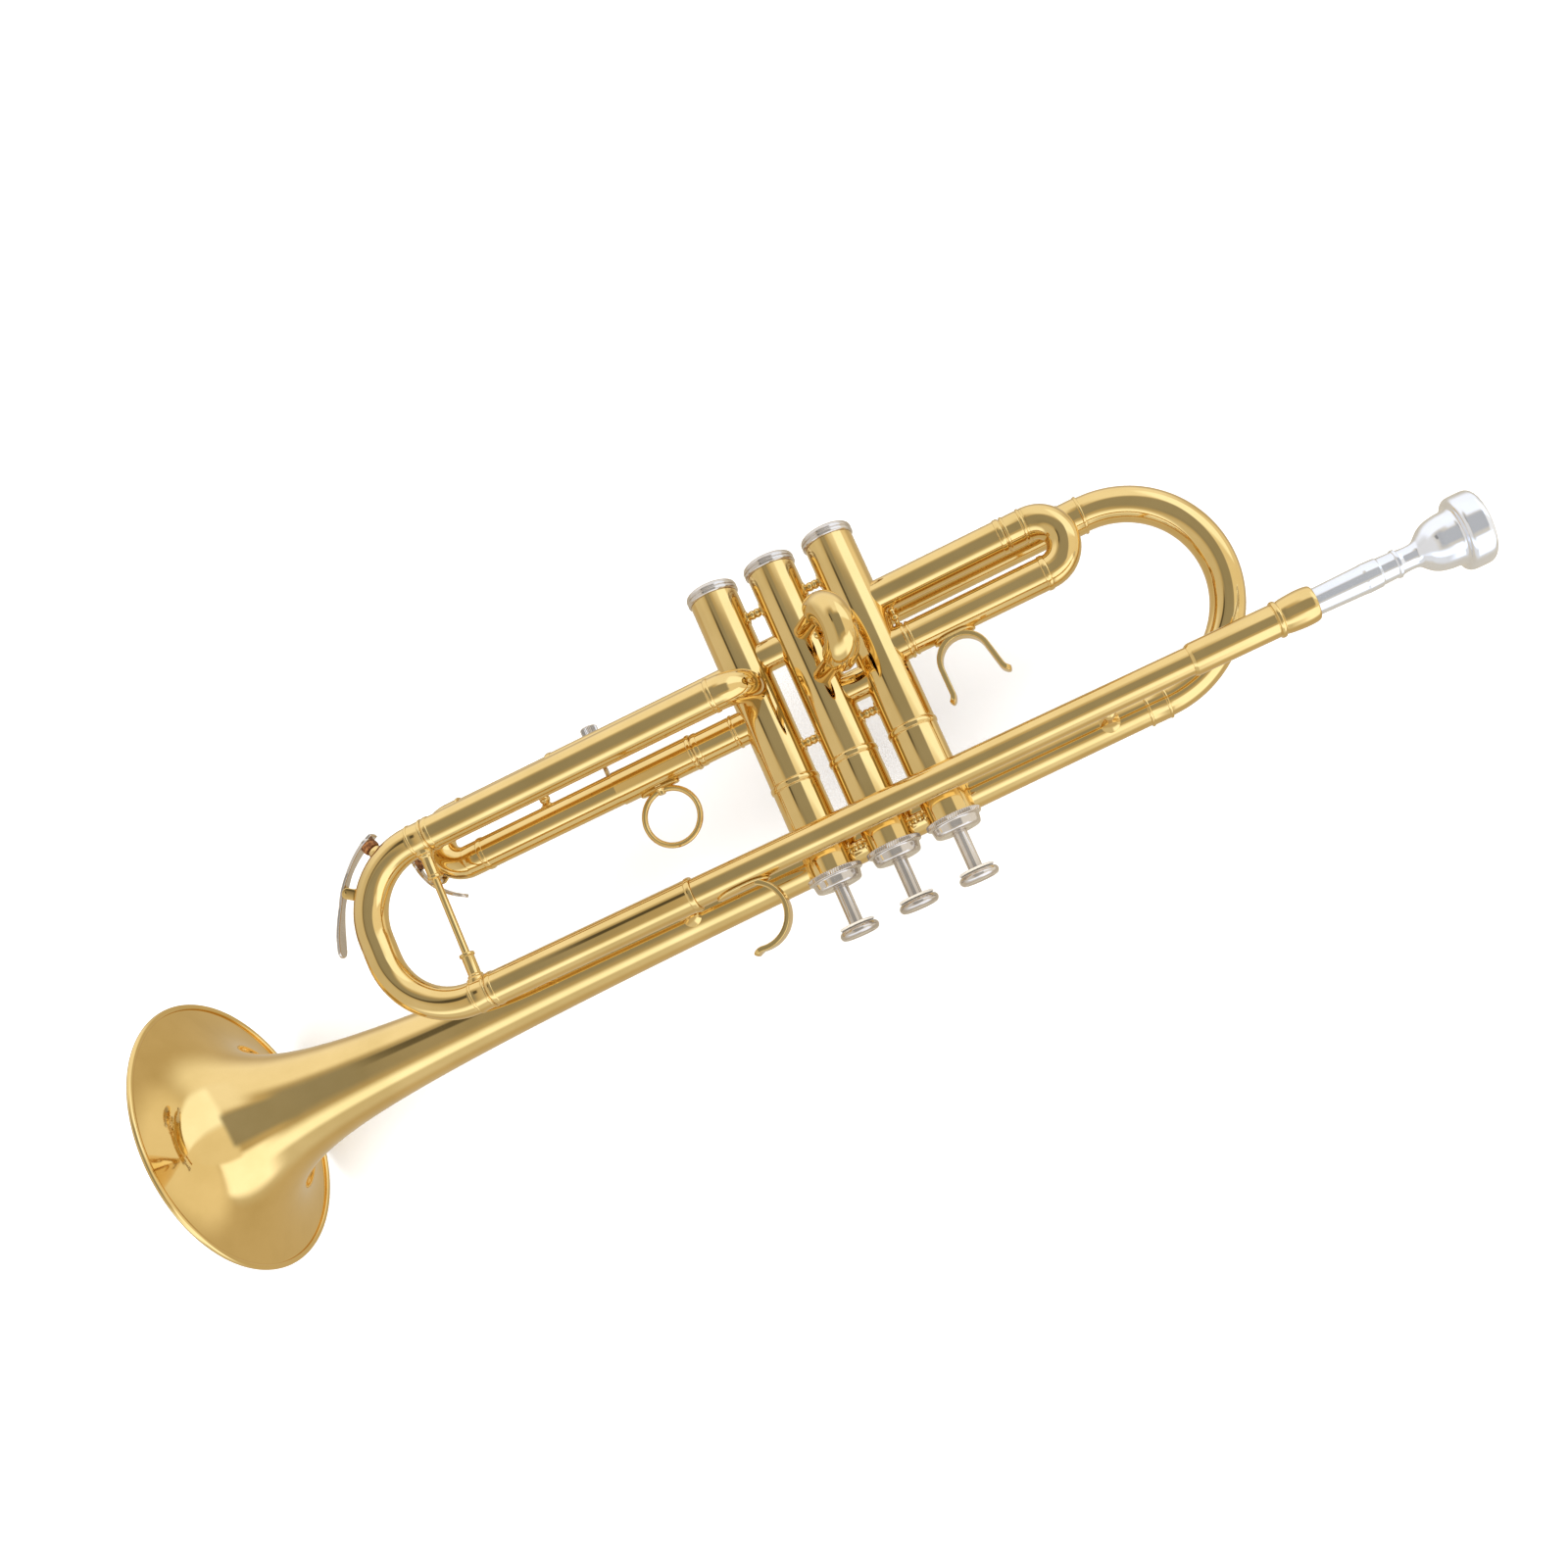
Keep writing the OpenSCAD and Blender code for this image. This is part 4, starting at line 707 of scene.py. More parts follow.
def make_piece(
    name: str, surfaces: Surface | Iterable[Surface], *nodes: str, body: str = "horn", slot: Slot = Slot.BRASS
) -> None:
    """Turns surfaces into one piece that rides on a body.

    Args:
        name: The piece's name.
        surfaces: One skin or several, in millimetres in the trumpet's layout.
        *nodes: CAD nodes that it stands for.
        body: The CAD body that carries it.
        slot: The material slot it takes its finish from.
    """
    skins = [surfaces] if isinstance(surfaces, Surface) else list(surfaces)
    starts = np.cumsum([0] + [len(k.points) for k in skins[:-1]])
    points = (np.concatenate([k.points for k in skins]) - FRAME_ORIGIN) * MM
    quads = np.concatenate([k.quads + n for k, n in zip(skins, starts)])
    tris = np.concatenate([k.tris + n for k, n in zip(skins, starts)])
    corner_uv = [k.quad_uv for k in skins] + [k.tri_uv for k in skins]
    uv = np.concatenate([k.reshape(-1, 2) for k in corner_uv])
    mesh = bpy.data.meshes.new(name)
    mesh.vertices.add(len(points))
    mesh.vertices.foreach_set("co", points.ravel())
    mesh.loops.add(quads.size + tris.size)
    mesh.loops.foreach_set("vertex_index", np.concatenate([quads.ravel(), tris.ravel()]))
    mesh.polygons.add(len(quads) + len(tris))
    loop_starts = np.concatenate([4 * np.arange(len(quads)), quads.size + 3 * np.arange(len(tris))])
    mesh.polygons.foreach_set("loop_start", loop_starts)
    mesh.update(calc_edges=True)
    mesh.uv_layers.new(name="Skin").data.foreach_set("uv", uv.ravel())
    mesh.validate()
    mesh.shade_smooth()
    mesh.set_sharp_from_angle(angle=math.radians(CREASE))
    mesh.materials.append(finish_of(slot))
    piece = bpy.data.objects.new(name, mesh)
    bpy.context.scene.collection.objects.link(piece)
    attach(piece, body)
    if nodes:
        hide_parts(*nodes)
    log.info("%s rides on %s: %d faces", name, body, len(mesh.polygons))


@dataclass(frozen=True)
class Gauge:
    """Outer diameter and bore of a tube."""

    d: float
    bore: float


@dataclass(frozen=True)
class Tubing:
    """Sizes that the whole horn shares."""

    bore: float = 11.6
    leg_d: float = 12.3
    sleeve_d: float = 13.2
    sleeve_bore: float = 12.4
    bead_len: float = 2.4
    bead_rise: float = 0.36
    stop_gap: float = 0.3
    casing_d: float = 19.5
    pitch: float = 25.3
    lead_drop: float = 1.8
    lead_side: float = 23.5
    bell_side: float = 23.2
    main_stop: float = 161.5


TUBE = Tubing()
LEG = Gauge(TUBE.leg_d, TUBE.bore)
SLEEVE = Gauge(TUBE.sleeve_d, TUBE.sleeve_bore)
FERRULE = Gauge(TUBE.sleeve_d, TUBE.leg_d - 0.1)
BOW = Gauge(TUBE.sleeve_d, TUBE.bore)
FIRST_X, THIRD_X = -TUBE.pitch, TUBE.pitch
CASING_R = TUBE.casing_d / 2
SLEEVE_R = TUBE.sleeve_d / 2
# A bead as (distance from the tube's start, length); below 0 the distance counts back from the end.
END_BEAD = (-TUBE.bead_len, TUBE.bead_len)
MOUTH_BEAD = (0.25, 1.1)


def plain_tube(
    start: Sequence[float], heading: np.ndarray, length: float, gauge: Gauge, *beads: tuple[float, float]
) -> Surface:
    """A straight tube with beads on it.

    Args:
        start: Centre of its first end.
        heading: Direction of its length.
        length: Its length.
        gauge: Its diameters.
        *beads: Its beads in order, each as END_BEAD is given.

    Returns:
        The tube's wall.
    """
    margin, clear = 0.02, 0.5
    outer: Profile = [(gauge.d / 2, 0.0)]
    for where, size in beads:
        where += length if where < 0 else 0.0
        place = min(max(where, margin), length - size - margin)
        grooved = clear < where and where + size < length - clear
        outer += bead_line(gauge.d / 2, place, size, TUBE.bead_rise, grooved)
    outer.append((gauge.d / 2, length))
    return carried(pipe_profile(outer, gauge.bore), line_from(start, heading, length), True)


def along(x: float, drop: float, length: float, gauge: Gauge, *beads: tuple[float, float]) -> Surface:
    """A tube along the horn beside the valves' plane.

    Args:
        x: Where it starts.
        drop: How far it lies below the bell's axis.
        length: Its length towards the bell, or below 0 away from it.
        gauge: Its diameters.
        *beads: Its beads, counted from its start.

    Returns:
        The tube's wall.
    """
    return plain_tube((x, -drop, 0), math.copysign(1, length) * FORWARD, abs(length), gauge, *beads)


def bent_tube(route: Route, gauge: Gauge, step: float = 0.9, segments: int = 64) -> Surface:
    """A tube of one diameter along a route that bends."""
    outer: Profile = [(gauge.d / 2, 0.0), (gauge.d / 2, route.length)]
    return carried(pipe_profile(outer, gauge.bore), route, True, step, segments)


def half_turn(start: Sequence[float], heading: np.ndarray, span: float, step: float = 0.6) -> Surface:
    """A slide's bow: a tube that turns back on itself, that span lower."""
    route = Route(np.array(start, float), heading, np.cross(heading, -UP)).bend(span / 2, 180)
    return bent_tube(route, BOW, step)


@dataclass(frozen=True)
class Brace:
    """A brace turned from rod, with a flared foot at each end and a ball in the middle.

    Attributes:
        rod: Diameter of the rod.
        ball_d: Diameter of the ball.
        foot_d: Diameter of the feet.
        foot_len: Length of each foot.
        sunk: How far each end goes on below the skin that its foot sits on.
    """

    rod: float
    ball_d: float
    foot_d: float
    foot_len: float
    sunk: float = 2.2

    def between(
        self, start: Sequence[float], heading: np.ndarray, length: float, low: float, high: float
    ) -> Surface:
        """The brace between two tubes. A foot's radius is r = rod + (foot - rod) (1 - x)^2.2.

        Args:
            start: Middle of the first tube.
            heading: Direction to the second.
            length: Distance between their middles.
            low: Radius of the first tube's skin.
            high: Radius of the second's.

        Returns:
            The closed skin.
        """
        x = np.linspace(0, 1, 10)
        r = self.rod / 2 + (self.foot_d - self.rod) / 2 * (1 - x) ** 2.2
        near = [(float(a), low + self.foot_len * float(b)) for a, b in zip(r, x)]
        far = [(float(a), length - high - self.foot_len * float(b)) for a, b in zip(r[::-1], x[::-1])]
        middle = ball(self.ball_d / 2, length / 2, self.rod / 2)
        ends = (self.foot_d / 2, low - self.sunk), (self.foot_d / 2, length - high + self.sunk)
        return turned([ends[0], *near, *middle, *far, ends[1]], start, heading, segments=48)


def foot_plate(
    centre: Sequence[float], out: np.ndarray, tube_r: float, length: float, width: float, thick: float = 1.2
) -> Surface:
    """A plate curved over a tube that runs along the horn, with rounded ends.

    At share t of its length the half width is W (1 - |2t - 1|^3)^(1/2). A point at arc distance u from the
    middle line lies at the angle u / R about the tube's axis.

    Args:
        centre: Point on the tube's axis under the middle of the plate.
        out: Direction from the axis to the middle of the plate.
        tube_r: Radius of the tube.
        length: Length of the plate.
        width: Its width at the middle.
        thick: Its thickness.

    Returns:
        The closed skin.
    """
    t = (1 - np.cos(np.linspace(0, math.pi, 50))) / 2
    half = width / 2 * np.sqrt(np.clip(1 - np.abs(2 * t - 1) ** 3, 0, 1))
    edge = np.minimum(1, half / (width / 2) * 1.6)[:, None]
    across, outwards = squared(48, 0.4)
    turn = half[:, None] * across / tube_r
    r = tube_r + thick * 0.45 + thick / 2 * outwards * edge
    points = (
        np.array(centre, float)
        + ((t - 0.5) * length)[:, None, None] * FORWARD
        + (r * np.cos(turn))[..., None] * out
        + (r * np.sin(turn))[..., None] * np.cross(FORWARD, out)
    )
    return grid_skin(points, False)


def round_bar(
    a: Sequence[float], b: Sequence[float], d: float, soft: float = 0.3, segments: int = 40
) -> Surface:
    """A round bar with softened ends.

    Args:
        a: Middle of its first end.
        b: Middle of its other end.
        d: Its diameter.
        soft: How far from each edge the rounding starts.
        segments: Points round it.

    Returns:
        The closed skin.
    """
    start, way = np.array(a, float), np.array(b, float) - np.array(a, float)
    length = float(np.linalg.norm(way))
    profile = softened([(0.0, 0.0), (d / 2, 0.0), (d / 2, length), (0.0, length)], soft, False)
    return turned(profile, start, way, segments=segments)


def ring_of(centre: Sequence[float], axis: np.ndarray, radius: float, wire: float) -> Surface:
    """A ring of round wire: the circle of the wire, spun about the axis.

    Args:
        centre: Middle of the ring.
        axis: Normal of its plane.
        radius: From the middle to the wire's centre line.
        wire: Diameter of the wire.

    Returns:
        The closed skin.
    """
    a = np.linspace(0, 2 * math.pi, 28, endpoint=False)
    profile = [(radius + wire / 2 * math.cos(k), wire / 2 * math.sin(k)) for k in a]
    return turned(profile, centre, axis, True, 128)


def fluted(
    skin: Surface, base: Sequence[float], low: float, high: float, count: int, depth: float
) -> Surface:
    """Cuts flutes into a band of a skin whose axis is the valves' direction.

    Between the two heights a point's radius shrinks by depth (1 + cos(count a)) / 2, faded at both edges.

    Args:
        skin: The turned skin.
        base: A point on its axis, from which heights count.
        low: Height where the band starts.
        high: Height where it ends.
        count: Number of flutes.
        depth: Their depth.

    Returns:
        The same skin with its points moved.
    """
    fade_len = 0.25
    rel = skin.points - np.array(base, float)
    h = rel @ UP
    radial = rel - h[:, None] * UP
    r = np.linalg.norm(radial, axis=1)
    x = unit(np.cross(UP, SIDE))
    a = np.arctan2(radial @ np.cross(UP, x), radial @ x)
    fade = np.clip(np.minimum(h - low, high - h) / fade_len, 0, 1) * (r > 0.8 * r.max())
    cut = depth * fade * (1 + np.cos(count * a)) / 2
    skin.points = skin.points - radial / np.maximum(r, TINY)[:, None] * cut[:, None]
    return skin


# ---------- sub-assemblies ----------


@dataclass
class Bell:
    """The bell, its bow and tail, and the braces that carry it."""

    rim_d: float = 122.0
    face: float = 315.0
    wall: float = 0.5
    wire_d: float = 2.6
    reach: float = 6.5
    power: float = 0.51
    back: float = 119.0
    tail_drop: float = 78.8
    tail_side: float = 15.0
    tail_d: float = 12.4
    elbow_r: float = 9.2
    ferrule: float = 9.0
    front_brace_x: float = 88.0
    rear_brace_x: float = -95.0
    brace: Brace = Brace(3.0, 5.4, 8.4, 6.0)
    brace_sink: float = 0.2
    lead_r: float = 5.42
    turns: int = 176
    lip_r: float = field(init=False)
    lip_x: float = field(init=False)
    length: float = field(init=False)

    def __post_init__(self) -> None:
        """Works out where the lip is and how long the flare is."""
        self.lip_r = (self.rim_d - self.wire_d) / 2
        self.lip_x = self.face - self.wire_d / 2
        self.length = self.lip_x + self.back

    def radius(self, t: np.ndarray | float) -> np.ndarray | float:
        """Radius at distance t behind the lip: lip_r ((t + reach) / reach)^(-power)."""
        return self.lip_r * ((t + self.reach) / self.reach) ** (-self.power)

    def spun(self, profile: Profile) -> Surface:
        """A closed profile of (radius, distance behind the lip) pairs, spun about the bell's axis."""
        return turned(profile, (self.lip_x, 0, -TUBE.bell_side), -FORWARD, True, self.turns)

    def flare(self) -> Surface:
        """The flare's wall, with rings crowded towards the lip as t = L (i / n)^2.4."""
        t = self.length * np.linspace(0, 1, 130) ** 2.4
        r = self.radius(t)
        slope = -self.power * r / (t + self.reach)
        n = np.hypot(1, slope)
        outer = np.stack([r, t], 1)
        inner = np.stack([r - self.wall / n, t + self.wall * slope / n], 1)[::-1]
        return self.spun([tuple(v) for v in np.concatenate([outer, inner])])

    def rim(self) -> Surface:
        """The rolled rim: a wire whose radius dips by d exp(-((a - m) / w)^2) where it meets the flare."""
        depth, middle, width = 0.55, 2.78, 0.2
        a = np.linspace(0, 2 * math.pi, 72, endpoint=False)
        rho = self.wire_d / 2 - depth * np.exp(-(((a - middle) / width) ** 2))
        return self.spun([(self.lip_r + p * math.cos(k), p * math.sin(k)) for p, k in zip(rho, a)])

    def bow(self) -> Surface:
        """The half turn behind the valves, leaning from the bell's axis to its tail."""
        start = np.array([-self.back, 0, -TUBE.bell_side])
        way = np.array([-self.back, -self.tail_drop, -self.tail_side]) - start
        across, radius = unit(np.cross(-FORWARD, way)), float(np.linalg.norm(way)) / 2
        route = Route(start, -FORWARD, across).bend(radius, 180)
        d = 2 * float(self.radius(self.length))
        return bent_tube(route, Gauge(d, d - 2 * self.wall), 1.1, 72)

    def tail(self) -> Surface:
        """The straight tail and its knuckle into the first valve."""
        run = FIRST_X - self.elbow_r + self.back
        start = np.array([-self.back, -self.tail_drop, -self.tail_side])
        route = Route(start, FORWARD, np.cross(FORWARD, SIDE))
        route = route.straight(run).bend(self.elbow_r, 90).straight(2)
        return bent_tube(route, Gauge(self.tail_d, TUBE.bore), 0.8)

    def ferrules(self) -> list[Surface]:
        """The collars where the bow meets the bell and the tail."""
        seat = 2 * float(self.radius(self.length - self.ferrule))
        end = 2 * float(self.radius(self.length))
        made = []
        for y, side, bore in ((0.0, -TUBE.bell_side, seat), (-self.tail_drop, -self.tail_side, self.tail_d)):
            start, gauge = (-self.back, y, side), Gauge(max(bore, end) + 0.8, bore)
            made.append(plain_tube(start, FORWARD, self.ferrule, gauge, (0.0, 1.2), (-1.2, 1.2)))
        return made

    def braces(self) -> list[Surface]:
        """The two braces from the bell to the leadpipe's side."""
        span = np.array([0, -TUBE.lead_drop, TUBE.lead_side + TUBE.bell_side])
        made = []
        for x, tube_r in ((self.front_brace_x, SLEEVE_R), (self.rear_brace_x, self.lead_r)):
            start, bell_r = (x, 0, -TUBE.bell_side), float(self.radius(self.lip_x - x))
            feet = bell_r - self.brace_sink, tube_r - self.brace_sink
            made.append(self.brace.between(start, span, float(np.linalg.norm(span)), *feet))
        return made

    def build(self) -> None:
        """Makes the bell's pieces."""
        make_piece("bell_flare", self.flare(), "bell")
        make_piece("bell_rolled_rim", self.rim(), "bell_rim_wire")
        make_piece("bell_bow_tube", self.bow(), "bell_bow")
        make_piece("bell_tail_tube", self.tail(), "bell_tail")
        make_piece("bell_bow_ferrules", self.ferrules(), "bell_ferrules")
        make_piece("bell_brace_pair", self.braces(), "bell_braces")


@dataclass(frozen=True)
class Strip:
    """Sizes of the strip that finger fittings are bent from."""

    width: float = 7.0
    height: float = 2.2
    curl_r: float = 3.0
    curl: float = 60.0

    @property
    def foot_w(self) -> float:
        """Width of the curved foot under it."""
        return self.width + 1

    @property
    def curl_mid(self) -> float:
        """Radius of the curled tip's centre line."""
        return self.curl_r + self.height / 2


STRIP = Strip()


@dataclass
class Leadpipe:
    """The mouthpipe with its receiver, the sleeve of the main slide and the finger hook."""

    start_d: float = 10.6
    end_d: float = 11.8
    wall: float = 0.5
    start_x: float = -138.8
    sleeve_x: float = 73.0
    receiver_back: float = 174.4
    receiver_len: float = 47.6
    receiver_d: float = 13.9
    socket_d: float = 10.08
    socket_tip_d: float = 8.88
    socket_depth: float = 25.6
    pipe_seat: float = 12.0
    throat_r: float = 3.9
    collar: float = 14.1
    hook_x: float = 55.5
    hook_r: float = 12.6
    hook_from: float = 82.0
    hook_sweep: float = 165.0
    hook_foot: float = 22.0

    def centre(self, x: float) -> tuple[float, float, float]:
        """A point on the pipe's axis."""
        return (x, -TUBE.lead_drop, TUBE.lead_side)

    def diameter(self, x: float) -> float:
        """Outer diameter at x, which grows evenly from the receiver to the sleeve."""
        growth, run = self.end_d - self.start_d, self.sleeve_x - self.start_x
        return self.start_d + growth * (x - self.start_x) / run

    def pipe(self) -> Surface:
        """The tapered pipe."""
        run = self.sleeve_x - self.start_x + 2.4
        low, high = self.start_d / 2, self.end_d / 2
        profile = [(low, 0), (high, run), (high - self.wall, run), (low - self.wall, 0)]
        return turned(profile, self.centre(self.start_x), FORWARD, True)

    def receiver(self) -> Surface:
        """The receiver: a rounded barrel at its mouth, a collar, and a tapered socket for the shank."""
        r, socket, long = self.receiver_d / 2, self.socket_d / 2, self.receiver_len
        tube, pipe_bore = self.start_d / 2 + 0.9, self.start_d / 2 - self.wall
        barrel = eased([
            (socket + 0.5, 0.0), (r - 0.5, 0.35), (r - 0.1, 2.4), (r, 5.2), (r - 0.15, 8.0),
            (tube + 0.3, 11.2), (tube + 0.05, 12.4),
        ], 2)
        collar = bead_line(tube, self.collar - 1.0, 2.0, 0.7)
        outer = barrel + collar + [(tube, long - 1.2), (tube - 0.5, long)]
        inner = [
            (pipe_bore, long), (pipe_bore, long - self.pipe_seat), (self.throat_r, long - self.pipe_seat),
            (self.throat_r, self.socket_depth), (self.socket_tip_d / 2, self.socket_depth), (socket, 0.0),
        ]
        return turned(softened(outer + inner, 0.1, True), self.centre(-self.receiver_back), FORWARD, True)

    def sleeve(self) -> list[Surface]:
        """The slide's upper sleeve, with the ring that closes it on the pipe."""
        pipe, ring, near, far = self.end_d / 2 - 0.1, SLEEVE_R - 0.2, 0.15, 2.2
        start, run = self.centre(self.sleeve_x), TUBE.main_stop - self.sleeve_x
        return [
            plain_tube(start, FORWARD, run, SLEEVE, (0.0, TUBE.bead_len), END_BEAD),
            turned([(pipe, near), (ring, near), (ring, far), (pipe, far)], start, FORWARD, True),
        ]

    def hook(self) -> list[Surface]:
        """The little finger's hook: an open ring of strip with a curled tip, on a curved foot."""
        pipe_r = self.diameter(self.hook_x) / 2
        height = self.hook_r + pipe_r - TUBE.lead_drop - STRIP.height / 2
        centre = np.array([self.hook_x, height, TUBE.lead_side])
        end = math.radians(self.hook_from + self.hook_sweep)
        start = centre + self.hook_r * np.array([math.cos(end), math.sin(end), 0])
        route = Route(start, np.array([math.sin(end), -math.cos(end), 0]), SIDE)
        route = route.bend(self.hook_r, -self.hook_sweep).bend(STRIP.curl_mid, STRIP.curl)
        return [
            strap(route, 0, route.length, STRIP.width, STRIP.height, tip=2.6, stations=110),
            foot_plate(self.centre(self.hook_x), UP, pipe_r, self.hook_foot, STRIP.foot_w),
        ]

    def build(self) -> None:
        """Makes the leadpipe's pieces."""
        make_piece("leadpipe_tube", self.pipe(), "leadpipe")
        make_piece("receiver_barrel", self.receiver(), "mouthpiece_receiver")
        make_piece("main_slide_upper_sleeve", self.sleeve(), "leadpipe_sleeve")
        make_piece("little_finger_hook", self.hook(), "finger_hook")


@dataclass
class ValveBlock:
    """The three casings with their braces and crossings, their caps, felts, buttons and stems.

    Attributes:
        brace_rows: Rows of braces: above the casing's foot, below its ring and below its top.
        crossings: The valve that each crossing tube starts from, and its height.
        first_rod: The small brace between the first slide's tubes.
    """

    casing_low: float = 109.0
    casing_top: float = 9.6
    bore: float = 16.9
    spigot_d: float = 18.7
    spigot_len: float = 3.0
    ring_low: float = 28.0
    bottom_cap_d: float = 21.0
    cap_face: float = 113.5
    vent_r: float = 1.2
    top_cap_d: float = 22.4
    top_cap_h: float = 6.4
    top_face_d: float = 18.4
    stem_d: float = 5.7
    stem_wall: float = 0.8
    stroke: float = 15.4
    felt_h: float = 1.0
    bumper_y: float = 4.09
    bumper_h: float = 1.5
    bumper_d: float = 15.2
    button_d: float = 16.0
    button_h: float = 4.0
    crossing_d: float = 12.4
    crossings: tuple[tuple[int, float], ...] = ((0, -53.0), (1, -79.0))
    brace_rows: tuple[float, float, float] = (12.5, 13.0, 5.1)
    brace_bead_r: float = 1.85
    brace_bead_gap: float = 1.08
    first_rod: Brace = Brace(1.6, 3.2, 3.2, 1.5)

    @property
    def stem_top(self) -> float:
        """Height of the button's underside at rest."""
        return self.casing_top + self.top_cap_h + self.stroke + self.felt_h + 0.01

    def axis(self, i: int, y: float = 0.0) -> tuple[float, float, float]:
        """A point on the axis of valve i."""
        return ((i - 1) * TUBE.pitch, y, 0.0)

    def casing(self, i: int) -> Surface:
        """A casing with its ring and the spigot that the bottom cap screws onto.

        Args:
            i: The valve, counted from 0.

        Returns:
            The casing's wall.
        """
        spigot, low = self.spigot_d / 2, -self.casing_low - self.spigot_len
        outer: Profile = [
            (spigot, low), (spigot, -self.casing_low), (CASING_R, -self.casing_low),
            *bead_line(CASING_R, -self.ring_low - 1.2, 2.4, 0.5), (CASING_R, self.casing_top),
        ]
        return turned(pipe_profile(outer, self.bore, 0.15), self.axis(i), UP, True, 96)

    def braces(self) -> list[Surface]:
        """The short braces between casings: two beads side by side between flared feet."""
        skin, core = CASING_R, 1.3
        gap = TUBE.pitch - TUBE.casing_d
        foot = [(3.1, skin - 1.2), (3.0, skin + 0.05), (2.2, skin + 0.3), (1.45, skin + 0.62)]
        back = [(r, 2 * skin + gap - h) for r, h in reversed(foot)]
        twin = [
            point for side in (-self.brace_bead_gap, self.brace_bead_gap)
            for point in ball(self.brace_bead_r, skin + gap / 2 + side, core)
        ]
        foot_up, ring_down, top_down = self.brace_rows
        rows = (-self.casing_low + foot_up, -self.ring_low - ring_down, self.casing_top - top_down)
        starts = [self.axis(i, y) for i in (0, 1) for y in rows]
        return [turned(foot + twin + back, start, FORWARD, segments=40) for start in starts]

    def first_brace(self) -> Surface:
        """The small brace that runs up beside the first casing, between its slide's two sleeves."""
        slide = FirstSlide()
        start = (FIRST_X - (TUBE.casing_d + slide.collar) / 2, -slide.low, 0.0)
        return self.first_rod.between(start, UP, slide.low - slide.high, SLEEVE_R, slide.collar_d / 2)

    def crossing(self, i: int, y: float) -> Surface:
        """A tube between two valves."""
        return plain_tube(self.axis(i, y), FORWARD, TUBE.pitch, Gauge(self.crossing_d, TUBE.bore))

    def bottom_cap(self, i: int) -> Surface:
        """A bottom cap: a grooved wall, a rounded shoulder and a face that sinks to its vent.

        Args:
            i: The valve, counted from 0.

        Returns:
            The cap's skin.
        """
        r, h, inside = self.bottom_cap_d / 2, self.cap_face - self.casing_low, 1.5
        outer = [
            (self.vent_r, 0.75), (1.9, 0.35), (2.6, 0.12), (r * 0.55, 0.3), (r - 3.4, 0.25), (r - 2.2, 0.0),
            (r - 1.1, 0.22), (r - 0.35, 0.8), (r, 1.7), (r, 2.5), (r - 0.28, 2.62), (r - 0.28, 2.82),
            (r, 2.94), (r, h - 0.5), (r - 0.4, h),
        ]
        inner = [(self.spigot_d / 2, h), (self.spigot_d / 2, inside), (self.vent_r, inside)]
        return turned(softened(outer + inner, 0.25, True), self.axis(i, -self.cap_face), UP, True, 96)

    def top_cap(self, i: int) -> Surface:
        """A top cap: a knurled grip, a waist and a domed shoulder round the stem.

        Args:
            i: The valve, counted from 0.

        Returns:
            The cap's skin.
        """
        r, face, h = self.top_cap_d / 2, self.top_face_d / 2, self.top_cap_h
        neck, base = self.stem_d / 2 + 0.4, self.axis(i, self.casing_top)
        outer = [
            (CASING_R - 0.4, 0.0), (r - 0.3, 0.0), (r, 0.3), (r, 1.9), (r - 0.35, 2.25),
            (CASING_R + 0.35, 2.35), (CASING_R + 0.1, 2.9), (face + 0.3, h - 1.3), (face, h - 0.5),
            (face - 0.8, h), (neck + 0.4, h), (neck, h - 0.3), (neck, 1.0), (CASING_R - 0.4, 1.0),
        ]
        return fluted(turned(softened(outer, 0.3, True), base, UP, True, 288), base, 0.25, 2.0, 72, 0.28)

    def stem(self, i: int) -> Surface:
        """The smooth stem between the top cap and the button.

        Args:
            i: The valve, counted from 0.

        Returns:
            The stem's wall.
        """
        r = self.stem_d / 2 + 0.012
        outer: Profile = [(r, self.casing_top - 4.0), (r, self.stem_top + 0.5)]
        return turned(pipe_profile(outer, self.stem_d - 2 * self.stem_wall), self.axis(i), UP, True, 48)

    def felts(self, i: int) -> list[Surface]:
        """The washer under the button and the bumper on the barrel, with edges that bulge a little.

        Args:
            i: The valve, counted from 0.

        Returns:
            The two felts.
        """
        washer = self.stem_top - self.felt_h, self.felt_h, self.top_face_d - 4
        hole, made = self.stem_d / 2, []
        for y, h, d in (washer, (self.bumper_y, self.bumper_h, self.bumper_d)):
            r = d / 2
            loop = [(hole, 0.0), (r - 0.3, 0.02), (r, h / 2), (r - 0.3, h - 0.02), (hole, h)]
            made.append(turned(softened(loop, 0.35, True), self.axis(i, y), UP, True, 72))
        return made

    def button(self, i: int) -> Surface:
        """A finger button: a rounded rim round a shallow dish, on a tapered underside.

        Args:
            i: The valve, counted from 0.

        Returns:
            The button's skin.
        """
        r, h = self.button_d / 2, self.button_h
        profile = eased([
            (0.0, 0.0), (r - 2.6, 0.0), (r - 1.4, 0.25), (r - 0.4, 0.9), (r + 0.06, 1.8), (r + 0.02, 2.6),
            (r - 0.4, 3.4), (r - 1.0, h - 0.12), (r - 1.9, h + 0.05), (r - 2.5, h - 0.3), (r - 3.2, h - 0.42),
            (r / 2, h - 0.22), (r / 4, h - 0.14), (0.0, h - 0.12),
        ])
        return turned(profile, self.axis(i, self.stem_top), UP, segments=96)

